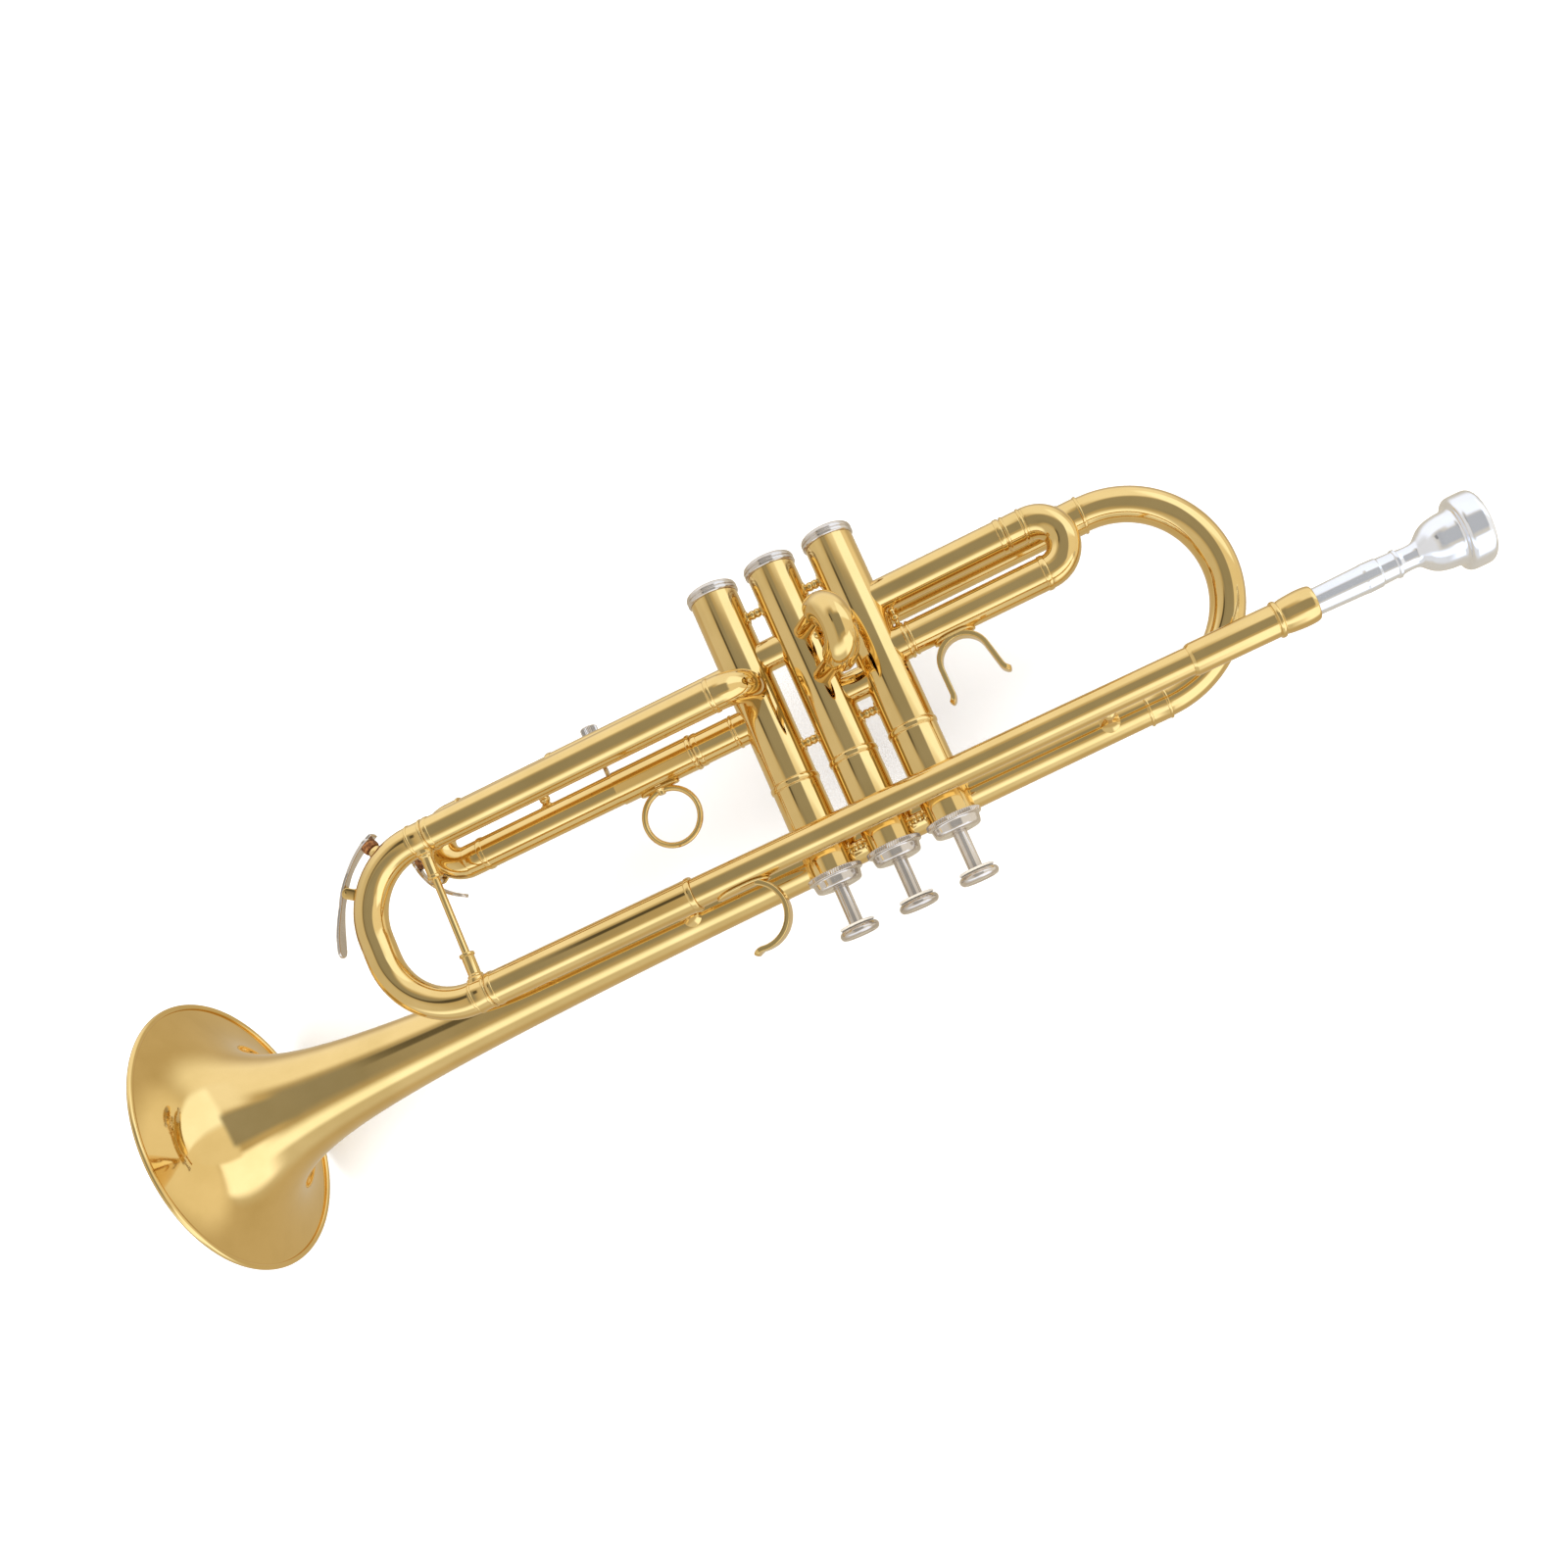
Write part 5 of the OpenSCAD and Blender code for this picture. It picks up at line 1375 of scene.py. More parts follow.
    def build(self) -> None:
        """Makes the valve block's pieces."""
        for i in range(3):
            n, body = i + 1, f"valve_{i + 1}"
            make_piece(f"casing_{n}", self.casing(i), f"valve_casing_{n}")
            make_piece(f"valve_stem_{n}", self.stem(i), body=body, slot=Slot.NICKEL)
            make_piece(f"valve_button_{n}", self.button(i), f"finger_button_{n}", body=body, slot=Slot.NICKEL)
            make_piece(f"felt_washers_{n}", self.felts(i), f"valve_felts_{n}", body=body, slot=Slot.FELT)
        make_piece("casing_braces", [*self.braces(), self.first_brace()], "valve_braces")
        make_piece("crossing_tubes", [self.crossing(*c) for c in self.crossings], "crossover_tubes")
        for name, cap, node in (
            ("bottom_cap_set", self.bottom_cap, "bottom_caps"), ("top_cap_set", self.top_cap, "top_caps")
        ):
            make_piece(name, [cap(i) for i in range(3)], node, slot=Slot.NICKEL)


@dataclass
class FirstSlide:
    """The first valve's slide with its thumb saddle."""

    low: float = 80.6
    high: float = 60.2
    bow_back: float = 97.0
    sleeve_back: float = 87.6
    collar: float = 3.5
    collar_d: float = 14.0
    saddle_back: float = 54.8
    saddle_r: float = 8.8
    saddle_arm: float = 10.0
    saddle_foot: float = 17.0
    saddle_sunk: float = 0.7
    lean: float = 12.0

    def sleeves(self) -> list[Surface]:
        """The fixed tubes: an outer sleeve below and an inner one, with a collar, above."""
        run = self.sleeve_back + FIRST_X
        collar = Gauge(self.collar_d, TUBE.bore)
        return [
            along(FIRST_X, self.low, -run, SLEEVE, END_BEAD),
            along(FIRST_X, self.high, -(run + TUBE.bead_len), LEG),
            along(FIRST_X, self.high, -(CASING_R + self.collar), collar, (-1.5, 1.2)),
        ]

    def legs(self) -> list[Surface]:
        """The moving tubes."""
        start = CASING_R + 2
        bow = self.bow_back + FIRST_X
        upper = CASING_R + self.collar + TUBE.stop_gap
        ring = self.bow_back - self.sleeve_back - TUBE.stop_gap
        return [
            along(FIRST_X - start, self.low, start - bow, LEG),
            along(-self.sleeve_back - TUBE.stop_gap, self.low, -ring, FERRULE, MOUTH_BEAD, (7.0, 1.2)),
            along(FIRST_X - upper, self.high, upper - bow, SLEEVE, (0.3, 1.1), END_BEAD),
        ]

    def saddle(self) -> list[Surface]:
        """The thumb saddle: a U of strip with curled tips, one arm leaning back, on a curved foot."""
        mid = self.saddle_r + STRIP.height / 2
        curve_y = -self.high + SLEEVE_R + STRIP.height + self.saddle_r - self.saddle_sunk
        arms = []
        for sign, lean in ((1.0, 0.0), (-1.0, self.lean)):
            route = Route(np.array([-self.saddle_back, curve_y - mid, 0.0]), sign * FORWARD, SIDE)
            route = route.bend(mid, sign * (90 - lean)).straight(self.saddle_arm)
            route = route.bend(STRIP.curl_mid, -sign * STRIP.curl)
            arms.append(strap(route, -3.0, route.length, STRIP.width, STRIP.height, tip=2.4, stations=90))
        base = (-self.saddle_back, -self.high, 0)
        return [*arms, foot_plate(base, UP, SLEEVE_R, self.saddle_foot, STRIP.foot_w)]

    def build(self) -> None:
        """Makes the first slide's pieces."""
        bow = half_turn((-self.bow_back, -self.high, 0.0), -FORWARD, self.low - self.high, 0.7)
        make_piece("first_sleeve_pair", self.sleeves(), "first_slide_sleeves")
        make_piece("first_leg_pair", self.legs(), "first_slide_legs", body="first_slide")
        make_piece("first_bow_tube", bow, "first_slide_bow", body="first_slide")
        make_piece("thumb_saddle_strip", self.saddle(), "thumb_saddle", body="first_slide")


@dataclass
class SecondSlide:
    """The middle valve's short slide, which leans out over the first valve."""

    low: float = 79.1
    high: float = 60.2
    angle: float = 34.0
    aside: float = 2.2
    stop: float = 25.2
    ferrule: float = 0.6
    knob_d: float = 4.4
    knob_out: float = 5.0
    knob_neck_r: float = 1.1
    rod: Brace = Brace(3.0, 4.4, 5.2, 1.6)

    @property
    def out(self) -> np.ndarray:
        """Direction in which the slide pulls."""
        a = math.radians(self.angle)
        return np.array([-math.sin(a), 0.0, math.cos(a)])

    @property
    def bow_at(self) -> float:
        """Distance from the valve's axis to the bow's ends."""
        return self.stop + TUBE.stop_gap + self.ferrule

    def point(self, s: float, rise: float, beside: float = 0.0) -> np.ndarray:
        """A point of the slide.

        Args:
            s: Distance out along it.
            rise: Distance from its middle towards the buttons.
            beside: Distance beside it.

        Returns:
            The point.
        """
        a = math.radians(self.angle)
        across = np.array([math.cos(a), 0.0, math.sin(a)])
        middle = np.array([0.0, -(self.low + self.high) / 2 + rise, 0.0])
        return middle + s * self.out + (self.aside + beside) * across

    def pair(self, s: float, length: float, gauge: Gauge, *beads: tuple[float, float]) -> list[Surface]:
        """The same tube on both legs.

        Args:
            s: Distance out where it starts.
            length: Its length.
            gauge: Its diameters.
            *beads: Its beads.

        Returns:
            The two tubes.
        """
        r = (self.low - self.high) / 2
        return [plain_tube(self.point(s, k * r), self.out, length, gauge, *beads) for k in (-1, 1)]

    def knob(self) -> list[Surface]:
        """The pull knob: a turned rod across the bow, with a ball on a short post."""
        r, bar = (self.low - self.high) / 2, self.bow_at + self.rod.rod / 2
        inner = SLEEVE_R * 0.93
        foot, neck = self.point(bar, 0.0), self.knob_neck_r
        profile = softened([(1.6, 0.0), (neck, 1.2), (neck, self.knob_out - 2.0)], 0.3, False)
        profile += ball(self.knob_d / 2, self.knob_out, 1.15)
        post = turned(profile, foot, self.point(bar, 0.0, 1.0) - foot, segments=40)
        return [self.rod.between(self.point(bar, -r), UP, 2 * r, inner, inner), post]

    def build(self) -> None:
        """Makes the second slide's pieces."""
        r, start, body = (self.low - self.high) / 2, CASING_R + 2, "second_slide"
        legs = self.pair(start, self.bow_at - start, LEG)
        legs += self.pair(self.stop + TUBE.stop_gap, self.ferrule, FERRULE)
        bow = half_turn(self.point(self.bow_at, r), self.out, 2 * r)
        make_piece("second_sleeve_pair", self.pair(0, self.stop, SLEEVE, END_BEAD), "second_slide_sleeves")
        make_piece("second_leg_pair", legs, "second_slide_legs", body=body)
        make_piece("second_bow_tube", bow, "second_slide_bow", body=body)
        make_piece("second_pull_knob", self.knob(), "second_slide_knob", body=body)


@dataclass
class WaterKey:
    """A water key bent round the outside of a bow. Angles are about the centre of the bow's bend.

    Attributes:
        name: Its node's prefix.
        carrier: Body of its saddle.
        body: Body of its lever.
        centre: Centre of the bend.
        radius: Radius of the bend.
        cork_at: Angle of the cork.
        pivot_at: Angle of the pivot.
        arm_r: Radius of the finger arm's curve.
        arm_sweep: Angle of that curve.
    """

    name: str
    carrier: str
    body: str
    centre: tuple[float, float, float]
    radius: float
    cork_at: float
    pivot_at: float
    arm_r: float
    arm_sweep: float
    nipple_h: float = 1.6
    nipple_bore: float = 3.0
    cork_h: float = 3.0
    cork_d: float = 7.0
    lever_h: float = 1.6
    lever_w: float = 4.4
    pivot_d: float = 1.6
    gap: float = 5.0
    ear: float = 1.4
    ear_w: float = 4.6
    sunk: float = 1.2

    def out(self, angle: float) -> np.ndarray:
        """Direction from the bend's centre at an angle."""
        return np.array([math.cos(math.radians(angle)), math.sin(math.radians(angle)), 0.0])

    @property
    def skin(self) -> float:
        """Distance from the bend's centre to the outside of its tube."""
        return self.radius + SLEEVE_R

    @property
    def lever_r(self) -> float:
        """Distance from the bend's centre to the lever's outside."""
        return self.skin + self.nipple_h + self.cork_h + self.lever_h

    @property
    def pivot_r(self) -> float:
        """Distance from the bend's centre to the pivot screw."""
        return self.skin + self.nipple_h + self.cork_h - self.pivot_d - 0.2

    @property
    def pivot(self) -> np.ndarray:
        """Middle of the pivot screw."""
        return np.array(self.centre) + self.out(self.pivot_at) * self.pivot_r

    def saddle(self) -> list[Surface]:
        """The nipple under the cork, two rounded ears and the pivot screw with its plain round head."""
        depth, top, bore = self.skin - 1.0, self.skin + self.nipple_h, self.nipple_bore / 2
        nipple = [(bore, depth), (3.2, depth), (2.9, self.skin + 0.3), (2.5, top), (bore, top)]
        made = [turned(softened(nipple, 0.2, True), self.centre, self.out(self.cork_at), True, 48)]
        way = self.out(self.pivot_at)
        root = np.array(self.centre) + way * (self.skin - self.sunk)
        run = self.pivot_r + self.pivot_d - self.skin + self.sunk
        for k in (-1, 1):
            route = Route(root + SIDE * k * (self.gap + self.ear) / 2, way, np.cross(SIDE, way))
            made.append(
                strap(route, 0, run, self.ear_w, self.ear, tip=2.3, squareness=0.35, stations=30, ends=0.3)
            )
        half, d = self.gap / 2 + self.ear, self.pivot_d
        for low, high, width, soft in ((-half, half, d, 0.1), (half, half + 0.8, d + 1.2, 0.3)):
            made.append(round_bar(self.pivot + SIDE * low, self.pivot + SIDE * high, width, soft))
        return made

    def lever(self) -> list[Surface]:
        """The arm over the cork, bent back at the pivot into a finger arm with a wide rounded end."""
        inner = self.lever_r - self.lever_h
        over = math.degrees(math.atan((self.cork_d / 2 + 1.2) / inner))
        mid = self.lever_r - self.lever_h / 2 + 0.1
        first, cork_way, wide = self.cork_at - over, self.out(self.cork_at), self.lever_w
        c, turn = np.array(self.centre), self.pivot_at - first
        route = Route(c + mid * self.out(first), np.cross(SIDE, self.out(first)), SIDE)
        route = route.bend(mid, turn).bend(self.arm_r - self.lever_h / 2, self.arm_sweep)
        span = route.length + 2.6
        knee = mid * math.radians(turn) / span
        widths = [
            (0.0, self.cork_d - 1.6), (0.1, self.cork_d - 1.2), (knee * 0.7, wide - 0.8), (knee, wide),
            (knee + 0.12, wide - 0.7), (0.84, wide + 1.6), (1.0, wide + 1.2),
        ]
        arm = strap(
            route, 0, span, widths, self.lever_h - 0.1, tip=3.2, squareness=0.45, stations=110, ends=0.6
        )
        cap = round_bar(c + cork_way * (inner - 0.05), c + cork_way * (inner + 1.3), self.cork_d, 0.4, 56)
        hub = round_bar(self.pivot - SIDE * wide / 2, self.pivot, self.pivot_d + 1.8, 0.25)
        route = Route(self.pivot - SIDE * wide / 4, self.out(self.pivot_at), SIDE)
        neck = strap(route, 0, inner + self.lever_h / 2 - self.pivot_r, wide / 2, 2.0, stations=16, ends=0.2)
        return [arm, cap, hub, neck]

    def cork(self) -> Surface:
        """The cork: a plug whose edge is slightly crushed."""
        low, r = self.skin + self.nipple_h, self.cork_d / 2 - 0.3
        high = low + self.cork_h
        profile = [(0.0, low), (r - 0.1, low), (r + 0.1, (low + high) / 2), (r - 0.05, high), (0.0, high)]
        return turned(softened(profile, 0.35, False), self.centre, self.out(self.cork_at), segments=56)

    def build(self) -> None:
        """Makes the key's pieces."""
        make_piece(f"{self.name}_ears", self.saddle(), f"{self.name}_saddle", body=self.carrier)
        make_piece(f"{self.name}_arm", self.lever(), f"{self.name}_lever", body=self.body, slot=Slot.NICKEL)
        make_piece(f"{self.name}_plug", self.cork(), f"{self.name}_cork", body=self.body, slot=Slot.CORK)


@dataclass
class ThirdSlide:
    """The third valve's long slide with its finger ring, brace, stop screw and water key."""

    low: float = 76.0
    high: float = 57.2
    sleeve_x: float = 113.0
    short_x: float = 56.0
    bow_x: float = 160.0
    ferrule: float = 6.5
    brace_x: float = 121.0
    rod: Brace = Brace(3.0, 4.4, 5.6, 1.9)
    brace_sink: float = 0.1
    ring_sleeve_d: float = 14.0
    ring_sleeve_x: float = 91.0
    ring_x: float = 75.5
    ring_bore: float = 20.4
    ring_wire: float = 2.4
    ring_foot: float = 17.0
    screw_x: float = 95.5
    screw_side: float = -9.2
    post_half: float = 4.5
    head_d: float = 7.2
    head_h: float = 4.6
    shank_d: float = 2.0

    @property
    def joint_x(self) -> float:
        """Where the bow's ferrules start."""
        return self.bow_x - self.ferrule

    def sleeves(self) -> list[Surface]:
        """The fixed tubes."""
        run, short = self.sleeve_x - THIRD_X, self.short_x - THIRD_X
        return [
            along(THIRD_X, self.low, run, SLEEVE, END_BEAD),
            along(THIRD_X, self.high, self.joint_x - THIRD_X - 10, LEG),
            along(THIRD_X, self.high, short, FERRULE, (12.5, 1.2), END_BEAD),
        ]

    def legs(self) -> list[Surface]:
        """The moving tubes, with the ferrules at the bow."""
        start = THIRD_X + CASING_R + 2
        upper = self.short_x + TUBE.stop_gap
        ring = Gauge(self.ring_sleeve_d, TUBE.sleeve_d - 0.1)
        return [
            along(start, self.low, self.bow_x - start, LEG),
            along(self.joint_x, self.low, self.ferrule, FERRULE, (0.0, TUBE.bead_len / 2)),
            along(upper, self.high, self.joint_x - upper, SLEEVE, END_BEAD),
            along(upper, self.high, self.ring_sleeve_x - upper, ring, (0.25, 1.6)),
            along(self.joint_x, self.high, self.ferrule, BOW),
        ]

    def brace(self) -> Surface:
        """The short brace between the slide's legs."""
        feet = LEG.d / 2 - self.brace_sink, SLEEVE_R - self.brace_sink
        return self.rod.between((self.brace_x, -self.low, 0), UP, self.low - self.high, *feet)

    def ring(self) -> list[Surface]:
        """The finger ring on its stub and curved foot."""
        skin, wire = self.ring_sleeve_d / 2, self.ring_wire
        base, middle = (self.ring_x, -self.high, 0), -self.high + skin + wire + self.ring_bore / 2
        stub = [(3.0, skin - 0.6), (2.2, skin + 0.9), (1.7, skin + 1.6), (1.4, skin + wire + 0.4)]
        return [
            ring_of((self.ring_x, middle, 0), SIDE, (self.ring_bore + wire) / 2, wire),
            turned(softened(stub, 0.4, False), base, UP, segments=40),
            foot_plate(base, UP, skin, self.ring_foot, wire + 3.2, 1.1),
        ]

    def post(self) -> Surface:
        """The block soldered to the long sleeve, bored for the stop screw."""
        route = Route(np.array([self.screw_x, -self.low - self.post_half, self.screw_side + 0.6]), UP, SIDE)
        return strap(route, 0, 2 * self.post_half, 6.4, 2 * self.post_half, squareness=0.22, stations=40)

    def screw(self) -> list[Surface]:
        """The stop screw: a knurled head with a domed face, and its long shank."""
        r, h = self.head_d / 2, self.head_h
        low, top = -self.low - SLEEVE_R - h - 1, -self.high - SLEEVE_R - 1
        base, neck, tip = ((self.screw_x, y, self.screw_side) for y in (low, low + h - 0.5, top))
        head = [(0.0, 0.25), (r - 1.4, 0.0), (r - 0.5, 0.1), (r, 0.6), (r, h - 0.6), (r - 0.5, h), (0.0, h)]
        knob = fluted(turned(softened(head, 0.3, False), base, UP, segments=192), base, 0.5, h - 0.5, 32, 0.3)
        return [knob, round_bar(neck, tip, self.shank_d, 0.3)]

    def build(self) -> None:
        """Makes the third slide's pieces."""
        span, body = self.low - self.high, "third_slide"
        bow = half_turn((self.bow_x, -self.high, 0.0), FORWARD, span)
        make_piece("third_sleeve_pair", self.sleeves(), "third_slide_sleeves")
        make_piece("third_leg_pair", self.legs(), "third_slide_legs", body=body)
        make_piece("third_bow_tube", bow, "third_slide_bow", body=body)
        make_piece("third_turned_brace", self.brace(), "third_slide_brace", body=body)
        make_piece("finger_ring", self.ring(), "third_slide_ring", body=body)
        make_piece("stop_screw_post", self.post(), "screw_post", slot=Slot.NICKEL)
        make_piece("stop_screw_knob", self.screw(), "thumb_screw", body="stop_screw", slot=Slot.NICKEL)
        WaterKey(
            "third_key", body, "third_key", (self.bow_x, -(self.low + self.high) / 2, 0.0), span / 2,
            cork_at=2, pivot_at=34, arm_r=29, arm_sweep=26,
        ).build()


@dataclass
class MainSlide:
    """The main tuning slide: sleeves, legs, bow, brace and water key."""

    low: float = 67.6
    bow_x: float = 169.0
    bow_r: float = 29.0
    knuckle_r: float = 10.4
    engage: float = 78.0
    brace_x: float = 166.0
    rod: float = 3.0

    @property
    def half(self) -> float:
        """Half the distance between the legs."""
        return (self.low - TUBE.lead_drop) / 2

    @property
    def flat(self) -> float:
        """Half the straight part between the bow's two bends."""
        return self.half - self.bow_r

    def lower_sleeve(self) -> list[Surface]:
        """The lower sleeve and the knuckle that leads into it from the third valve."""
        elbow_x, elbow_side = THIRD_X + self.knuckle_r, TUBE.lead_side - self.knuckle_r
        route = Route(np.array([THIRD_X, -self.low, 0.0]), SIDE, np.cross(SIDE, FORWARD))
        route = route.straight(elbow_side).bend(self.knuckle_r, 90).straight(1.0)
        start = (elbow_x, -self.low, TUBE.lead_side)
        return [
            bent_tube(route, BOW, 0.7, 72),
            plain_tube(start, FORWARD, TUBE.main_stop - elbow_x, SLEEVE, (0.6, 1.8), END_BEAD),
        ]

    def legs(self) -> list[Surface]:
        """The inner legs and the ferrules that join them to the bow."""
        start, ring = TUBE.main_stop - self.engage, TUBE.main_stop + TUBE.stop_gap
        ring_len = self.bow_x - TUBE.main_stop - TUBE.stop_gap
        made = []
        for y in (-TUBE.lead_drop, -self.low):
            made.append(plain_tube((start, y, TUBE.lead_side), FORWARD, self.bow_x - start, LEG))
            made.append(
                plain_tube((ring, y, TUBE.lead_side), FORWARD, ring_len, FERRULE, MOUTH_BEAD, (6.0, 1.1))
            )
        return made

    def bow(self) -> Surface:
        """The bow: two bends with a short straight between them."""
        start = np.array([self.bow_x, -TUBE.lead_drop, TUBE.lead_side])
        route = Route(start, FORWARD, np.cross(FORWARD, -UP))
        route = route.bend(self.bow_r, 90).straight(2 * self.flat).bend(self.bow_r, 90)
        return bent_tube(route, BOW, 0.9, 72)

    def brace(self) -> Surface:
        """A thin rod between two sockets, each with a ring at its mouth and a flared foot."""
        r, socket, end = self.rod / 2, self.rod / 2 + 1.0, SLEEVE_R
        reach, ring = end + 10.5, socket + 0.5
        foot = [
            (4.2, end - 2.0), (3.9, end + 0.1), (3.1, end + 0.6), (3.1, end + 1.2), (socket, end + 1.7),
            (socket, reach - 1.5), (ring, reach - 1.3), (ring, reach - 0.2), (socket, reach),
            (r, reach + 0.15),
        ]
        far = [(a, 2 * self.half - b) for a, b in reversed(foot)]
        base = (self.brace_x, -self.low, TUBE.lead_side)
        return turned(softened(foot + far, 0.18, False), base, UP, segments=48)

    def build(self) -> None:
        """Makes the main slide's pieces."""
        body = "tuning_slide"
        make_piece("main_slide_lower_sleeve", self.lower_sleeve(), "lower_sleeve")
        make_piece("main_leg_pair", self.legs(), "tuning_slide_legs", body=body)
        make_piece("main_bow_tube", self.bow(), "tuning_slide_bow", body=body)
        make_piece("main_bow_brace", self.brace(), "tuning_slide_brace", body=body)
        middle = -(self.low + TUBE.lead_drop) / 2 - self.flat
        WaterKey(
            "water_key", body, "water_key", (self.bow_x, middle, TUBE.lead_side), self.bow_r,
            cork_at=-64, pivot_at=-34, arm_r=75, arm_sweep=18,
        ).build()


@dataclass
class Mouthpiece:
    """The loose mouthpiece."""

    length: float = 87.0
    rim_d: float = 27.0
    cup_d: float = 16.6
    cup_depth: float = 11.0
    bite: float = 0.9
    throat_d: float = 3.7
    tip_d: float = 8.8
    shank_d: float = 9.92
    shank_depth: float = 25.6
    start_x: float = -235.8

    def body(self) -> Surface:
        """The turned body: rim, bowl, neck, backbore collar and tapered shank, with the cup bored into it."""
        r, c, tip, throat = self.rim_d / 2, self.cup_d / 2, self.tip_d / 2, self.throat_d / 2
        outer = eased([
            (c + 0.1, self.bite), (c + 0.9, 0.2), ((r + c) / 2, -0.05), (r - 1.3, 0.25), (r - 0.4, 1.1),
            (r + 0.05, 2.4), (r + 0.02, 7.2), (r - 0.15, 8.4), (r - 0.9, 9.35), (r - 2.4, 9.55),
            (r - 3.25, 10.2), (r - 3.4, 12.0), (r - 3.6, 14.6), (r - 4.2, 17.6), (r - 5.4, 20.2),
            (r - 7.4, 22.4), (4.6, 23.9), (4.35, 25.4), (4.3, 27.5), (4.45, 29.4), (4.75, 30.6),
        ], 3)
        stem = softened([
            (5.25, 30.9), (5.25, 31.8), (4.8, 32.1), (5.0, 37.6), (5.35, 38.0), (5.5, 42.8), (5.35, 43.8),
            (self.shank_d / 2, self.length - self.shank_depth), (tip, self.length - 0.3),
            (tip - 0.3, self.length),
        ], 0.25, False)
        a = np.linspace(math.pi / 2, 0, 20)
        cup = [
            (max(throat, c * math.cos(k)), self.bite + (self.cup_depth - self.bite) * math.sin(k)) for k in a
        ]
        inner = [(tip - 0.8, self.length), (throat, self.cup_depth + 8.0), *cup]
        base = (self.start_x, -TUBE.lead_drop, TUBE.lead_side)
        return turned(outer + stem + inner, base, FORWARD, True, 128)

    def build(self) -> None:
        """Makes the mouthpiece."""
        make_piece("mouthpiece_body", self.body(), "mouthpiece", body="mouthpiece", slot=Slot.SILVER)


# ---------- studio ----------


@dataclass(frozen=True)
class Lamp:
    """A soft box that lights the floor and isn't mirrored in the metal.

    Attributes:
        name: Its name.
        place: Where it hangs, in metres.
        size: Its width and height in metres.
        power: Its power in watts.
    """

    name: str
    place: tuple[float, float, float]
    size: tuple[float, float]
    power: float


@dataclass(frozen=True)
class Panel:
    """A panel of the tent round the horn, as ranges of two angles from straight up.

    Attributes:
        level: Its brightness.
        tint: Its colour.
        roll: Lowest and highest angle about the horn's length, towards the buttons.
        pitch: Lowest and highest angle towards the bell, from the plane across the horn.
        soft: Widths in degrees of the fading edges: low and high roll, then low and high pitch.
    """

    level: float
    tint: str
    roll: tuple[float, float]
    pitch: tuple[float, float]
    soft: tuple[float, float, float, float]


def lit(tint: str, level: float) -> tuple[float, ...]:
    """A colour at a brightness, which may be above 1."""
    return (*(level * c for c in linear(tint)[:3]), 1.0)


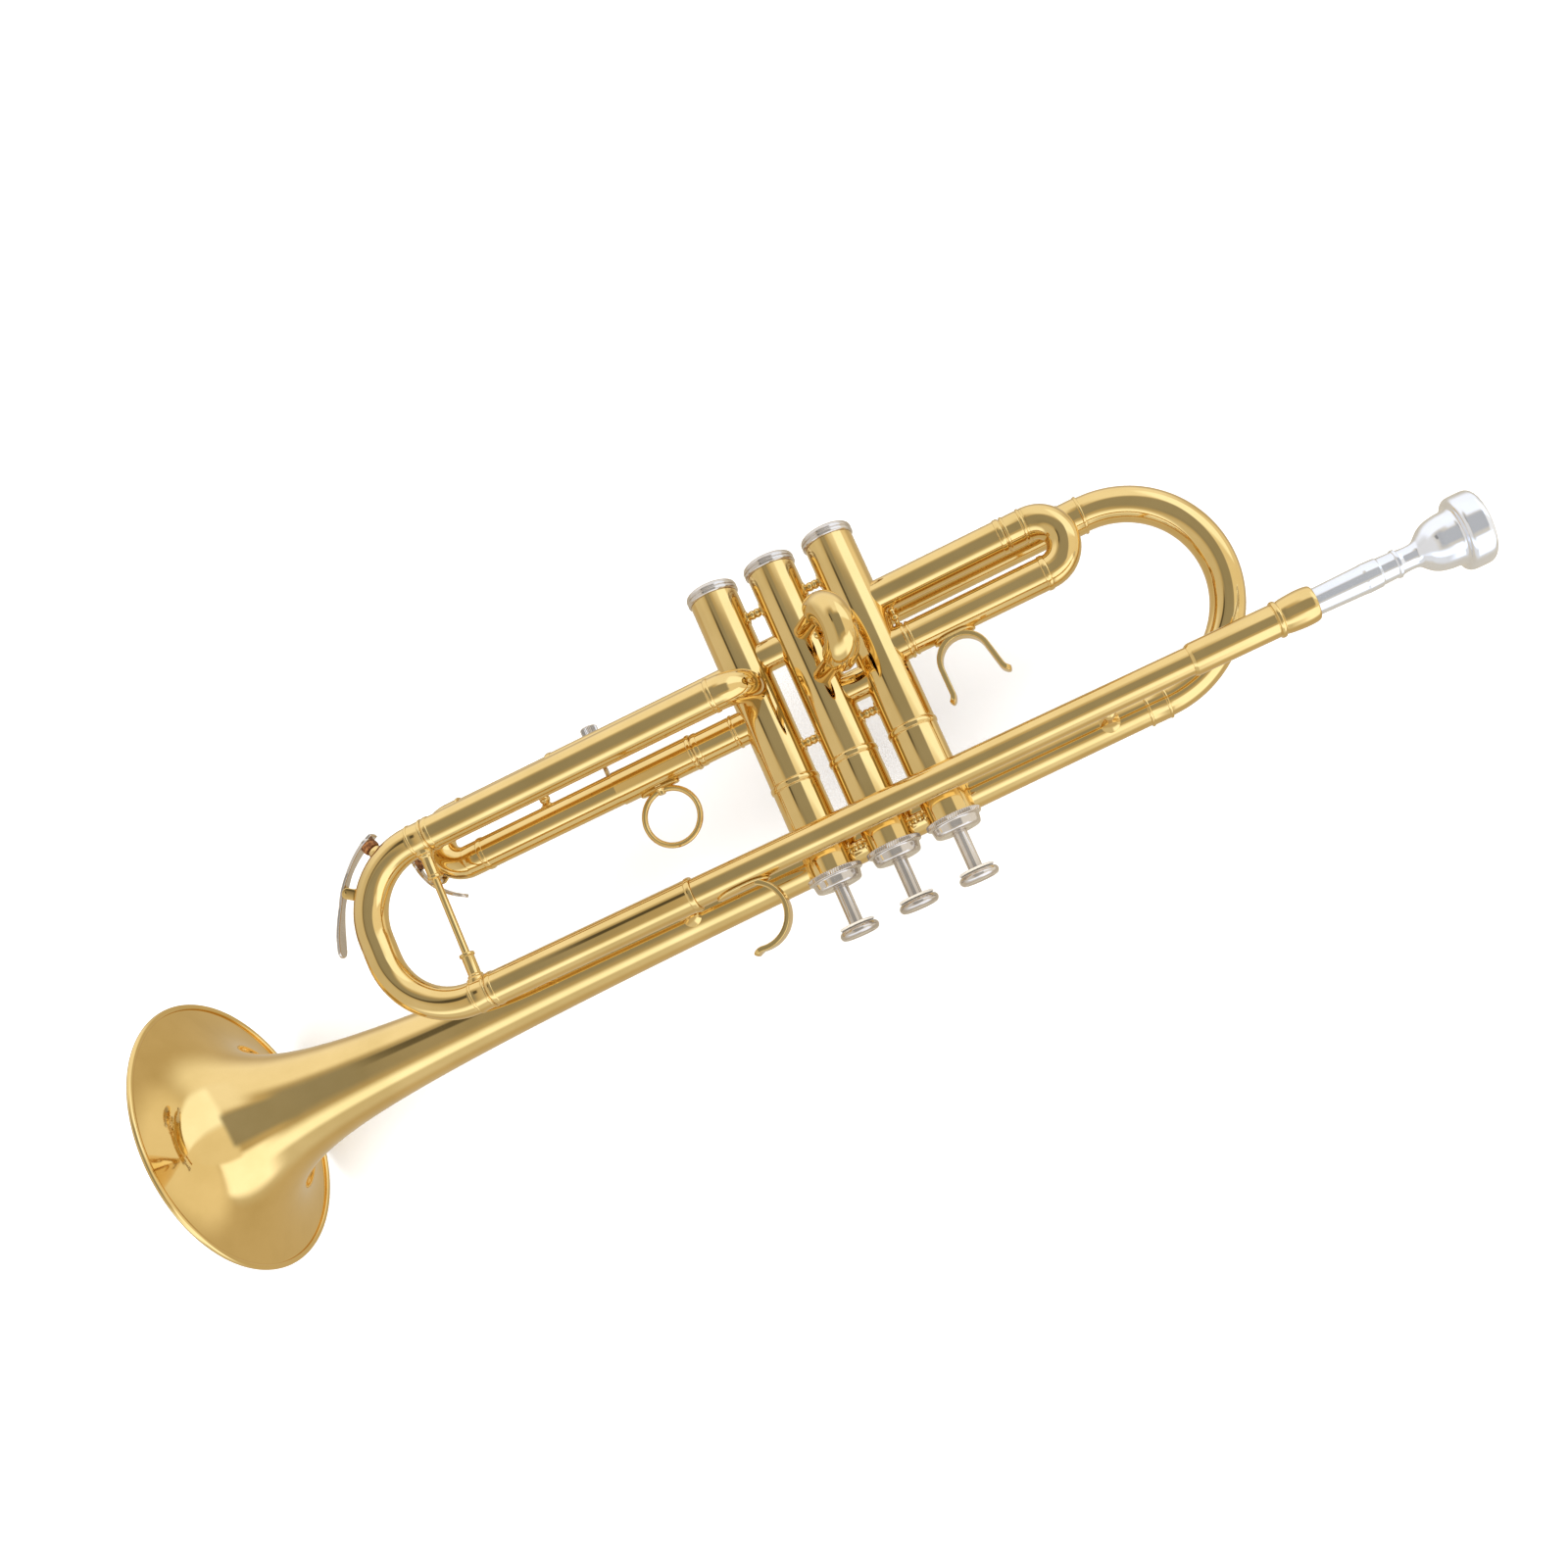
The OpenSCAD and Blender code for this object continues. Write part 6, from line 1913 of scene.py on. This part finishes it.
@dataclass
class Studio:
    """The pale floor, the tent of panels, the soft box and the camera.

    Attributes:
        eye: Where the camera stands, in metres.
        right: Direction to the right of its view.
        down: Direction towards the bottom of its view.
        forward: Direction in which it looks.
        lens: Its focal length in millimetres.
        sensor: Width of its sensor in millimetres.
        shift: Its shift to the side and up, as shares of the view.
        floor_half: Half the floor's width in metres.
        room: Brightness of the tent where no panel hangs.
        room_tint: Its colour there.
        panels: The panels, each laid over those before it.
        lamps: The soft boxes.
    """

    eye: tuple[float, float, float] = (-0.096295, 0.110757, 0.620485)
    right: tuple[float, float, float] = (-0.90050, 0.40369, -0.16168)
    down: tuple[float, float, float] = (0.41437, 0.90934, -0.03746)
    forward: tuple[float, float, float] = (0.13190, -0.10073, -0.98613)
    lens: float = 32.42
    sensor: float = 36.0
    shift: tuple[float, float] = (-0.0605, 0.0791)
    floor_half: float = 6.0
    room: float = 0.62
    room_tint: str = "#FFF1D6"
    panels: tuple[Panel, ...] = (
        Panel(0.8, "#F6F2EC", (-104.0, 104.0), (29.0, 90.0), (20.0, 20.0, 20.0, 0.5)),
        Panel(1.22, "#F2F3F6", (-116.0, -46.0), (-52.0, 42.0), (34.0, 22.0, 30.0, 30.0)),
        Panel(0.84, "#F4F3F0", (62.0, 108.0), (-60.0, 60.0), (16.0, 26.0, 30.0, 30.0)),
        Panel(1.75, "#E6F0FF", (46.0, 72.0), (-48.0, 60.0), (24.0, 14.0, 6.0, 30.0)),
        Panel(1.75, "#EAF1FF", (40.0, 100.0), (-58.0, -6.0), (12.0, 16.0, 6.0, 18.0)),
        Panel(1.25, "#F0F3FA", (-80.0, -32.0), (-100.0, -8.0), (12.0, 16.0, 1.0, 14.0)),
        Panel(1.0, "#FAF4E8", (-200.0, 200.0), (-100.0, -58.0), (1.0, 1.0, 1.0, 14.0)),
        Panel(1.05, "#F6F2EA", (-16.0, 44.0), (-80.0, -30.0), (14.0, 10.0, 18.0, 8.0)),
        Panel(1.65, "#E6F0FF", (-76.0, -14.0), (-84.0, -31.0), (12.0, 14.0, 12.0, 8.0)),
        Panel(0.39, "#F4F4F2", (-38.0, 30.0), (2.0, 20.5), (26.0, 32.0, 8.0, 11.0)),
        Panel(0.42, "#F4F4F2", (-28.0, 26.0), (-34.0, 8.0), (12.0, 12.0, 7.0, 8.0)),
        Panel(0.13, "#F0E8D8", (-32.0, -12.0), (17.5, 25.5), (8.0, 8.0, 3.0, 4.0)),
    )
    lamps: tuple[Lamp, ...] = (Lamp("floor_box", (0.2, 0.3, 1.6), (2.4, 2.4), 50.0),)

    def camera(self) -> None:
        """The camera, whose axes are the given right, down and forward directions."""
        data = bpy.data.cameras.new("camera")
        data.lens, data.sensor_width = self.lens, self.sensor
        data.shift_x, data.shift_y = self.shift
        data.clip_start, data.clip_end = 0.01, 20.0
        eye = bpy.data.objects.new("camera", data)
        place = np.eye(4)
        place[:3, :3] = np.stack([unit(self.right), -unit(self.down), -unit(self.forward)], 1)
        place[:3, 3] = self.eye
        eye.matrix_world = Matrix(place.tolist())
        bpy.context.scene.collection.objects.link(eye)
        bpy.context.scene.camera = eye

    def floor(self) -> None:
        """A wide pale floor with a faint paper tooth, which the metal doesn't mirror."""
        reach = self.floor_half
        corners = [(x, y, 0.0) for x in (-reach, reach) for y in (-reach, reach)]
        mesh = bpy.data.meshes.new("floor")
        mesh.from_pydata(corners, [], [(0, 2, 3, 1)])
        material, tree, shader = blank("matt_white_paper")
        where = add(tree, "ShaderNodeTexCoord")
        tooth = add(tree, "ShaderNodeTexNoise", {
            "Vector": where.outputs["Object"], "Scale": per_metre(3.0), "Detail": 3.0,
        })
        bump = add(tree, "ShaderNodeBump", {
            "Height": tooth.outputs["Fac"], "Strength": 0.15, "Distance": 0.05 * MM,
        })
        plug(tree, shader, {
            "Base Color": linear("#F7F6F4"), "Normal": bump.outputs["Normal"], "Roughness": 0.9,
        })
        mesh.materials.append(material)
        floor = bpy.data.objects.new("floor", mesh)
        floor.visible_glossy = False
        bpy.context.scene.collection.objects.link(floor)

    def tent(self) -> None:
        """The tent of panels that the metal mirrors.

        A direction (x, y, z) has the roll angle atan2(y, z) about the horn's length and the pitch angle
        asin(x) towards the bell. Each panel is laid over the last where both angles are in its ranges.
        """
        world = bpy.data.worlds.new("tent")
        world.use_nodes = True
        tree = world.node_tree
        tree.nodes.clear()
        where = add(tree, "ShaderNodeTexCoord")
        parts = add(tree, "ShaderNodeSeparateXYZ", {"Vector": where.outputs["Generated"]})
        slope = {0: parts.outputs["Y"], 1: parts.outputs["Z"]}
        roll = add(tree, "ShaderNodeMath", slope, operation="ARCTAN2").outputs["Value"]
        pitch = add(tree, "ShaderNodeMath", {0: parts.outputs["X"]}, operation="ARCSINE").outputs["Value"]
        shade: Any = lit(self.room_tint, self.room)
        for panel in self.panels:
            mask: Any = 1.0
            limits, signs, angles = (*panel.roll, *panel.pitch), (1, -1, 1, -1), (roll, roll, pitch, pitch)
            for edge, soft, inside, angle in zip(limits, panel.soft, signs, angles):
                fade = add(tree, "ShaderNodeMapRange", {
                    "Value": angle,
                    "From Min": math.radians(edge - inside * soft / 2),
                    "From Max": math.radians(edge + inside * soft / 2),
                }, interpolation_type="SMOOTHSTEP")
                both = {0: mask, 1: fade.outputs["Result"]}
                mask = add(tree, "ShaderNodeMath", both, operation="MULTIPLY").outputs["Value"]
            layers = {0: mask, 6: shade, 7: lit(panel.tint, panel.level)}
            shade = add(tree, "ShaderNodeMix", layers, data_type="RGBA").outputs[2]
        sky = add(tree, "ShaderNodeBackground", {"Color": shade})
        add(tree, "ShaderNodeOutputWorld", {"Surface": sky.outputs["Background"]})
        bpy.context.scene.world = world

    def light(self) -> None:
        """The soft boxes that lift the floor to white, pointing straight down."""
        for lamp in self.lamps:
            data = bpy.data.lights.new(lamp.name, "AREA")
            data.shape, data.size, data.size_y = "RECTANGLE", *lamp.size
            data.energy = lamp.power
            box = bpy.data.objects.new(lamp.name, data)
            box.location = lamp.place
            box.visible_glossy = False
            bpy.context.scene.collection.objects.link(box)
        bpy.context.scene.view_settings.view_transform = "Standard"

    def build(self) -> None:
        """Sets the stage."""
        self.camera()
        self.floor()
        self.tent()
        self.light()


def dress_frame() -> None:
    """Gives the CAD nodes that stay in sight inside the horn the same finishes as the new pieces."""
    slots = {row["node"]: Slot(row["material_slot"]) for row in frame["record"]["subparts"]}
    for name, node in frame["nodes"].items():
        node.data.materials.clear()
        node.data.materials.append(finish_of(slots[name]))


def main() -> None:
    """Builds every sub-assembly in order."""
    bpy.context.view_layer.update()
    dress_frame()
    slides = (FirstSlide, SecondSlide, ThirdSlide, MainSlide)
    for assembly in (Bell, Leadpipe, ValveBlock, *slides, Mouthpiece, Studio):
        log.info("building %s", assembly.__name__)
        assembly().build()


if __name__ == "__main__":
    logging.basicConfig(level=logging.INFO, format="%(name)s: %(message)s")
    main()
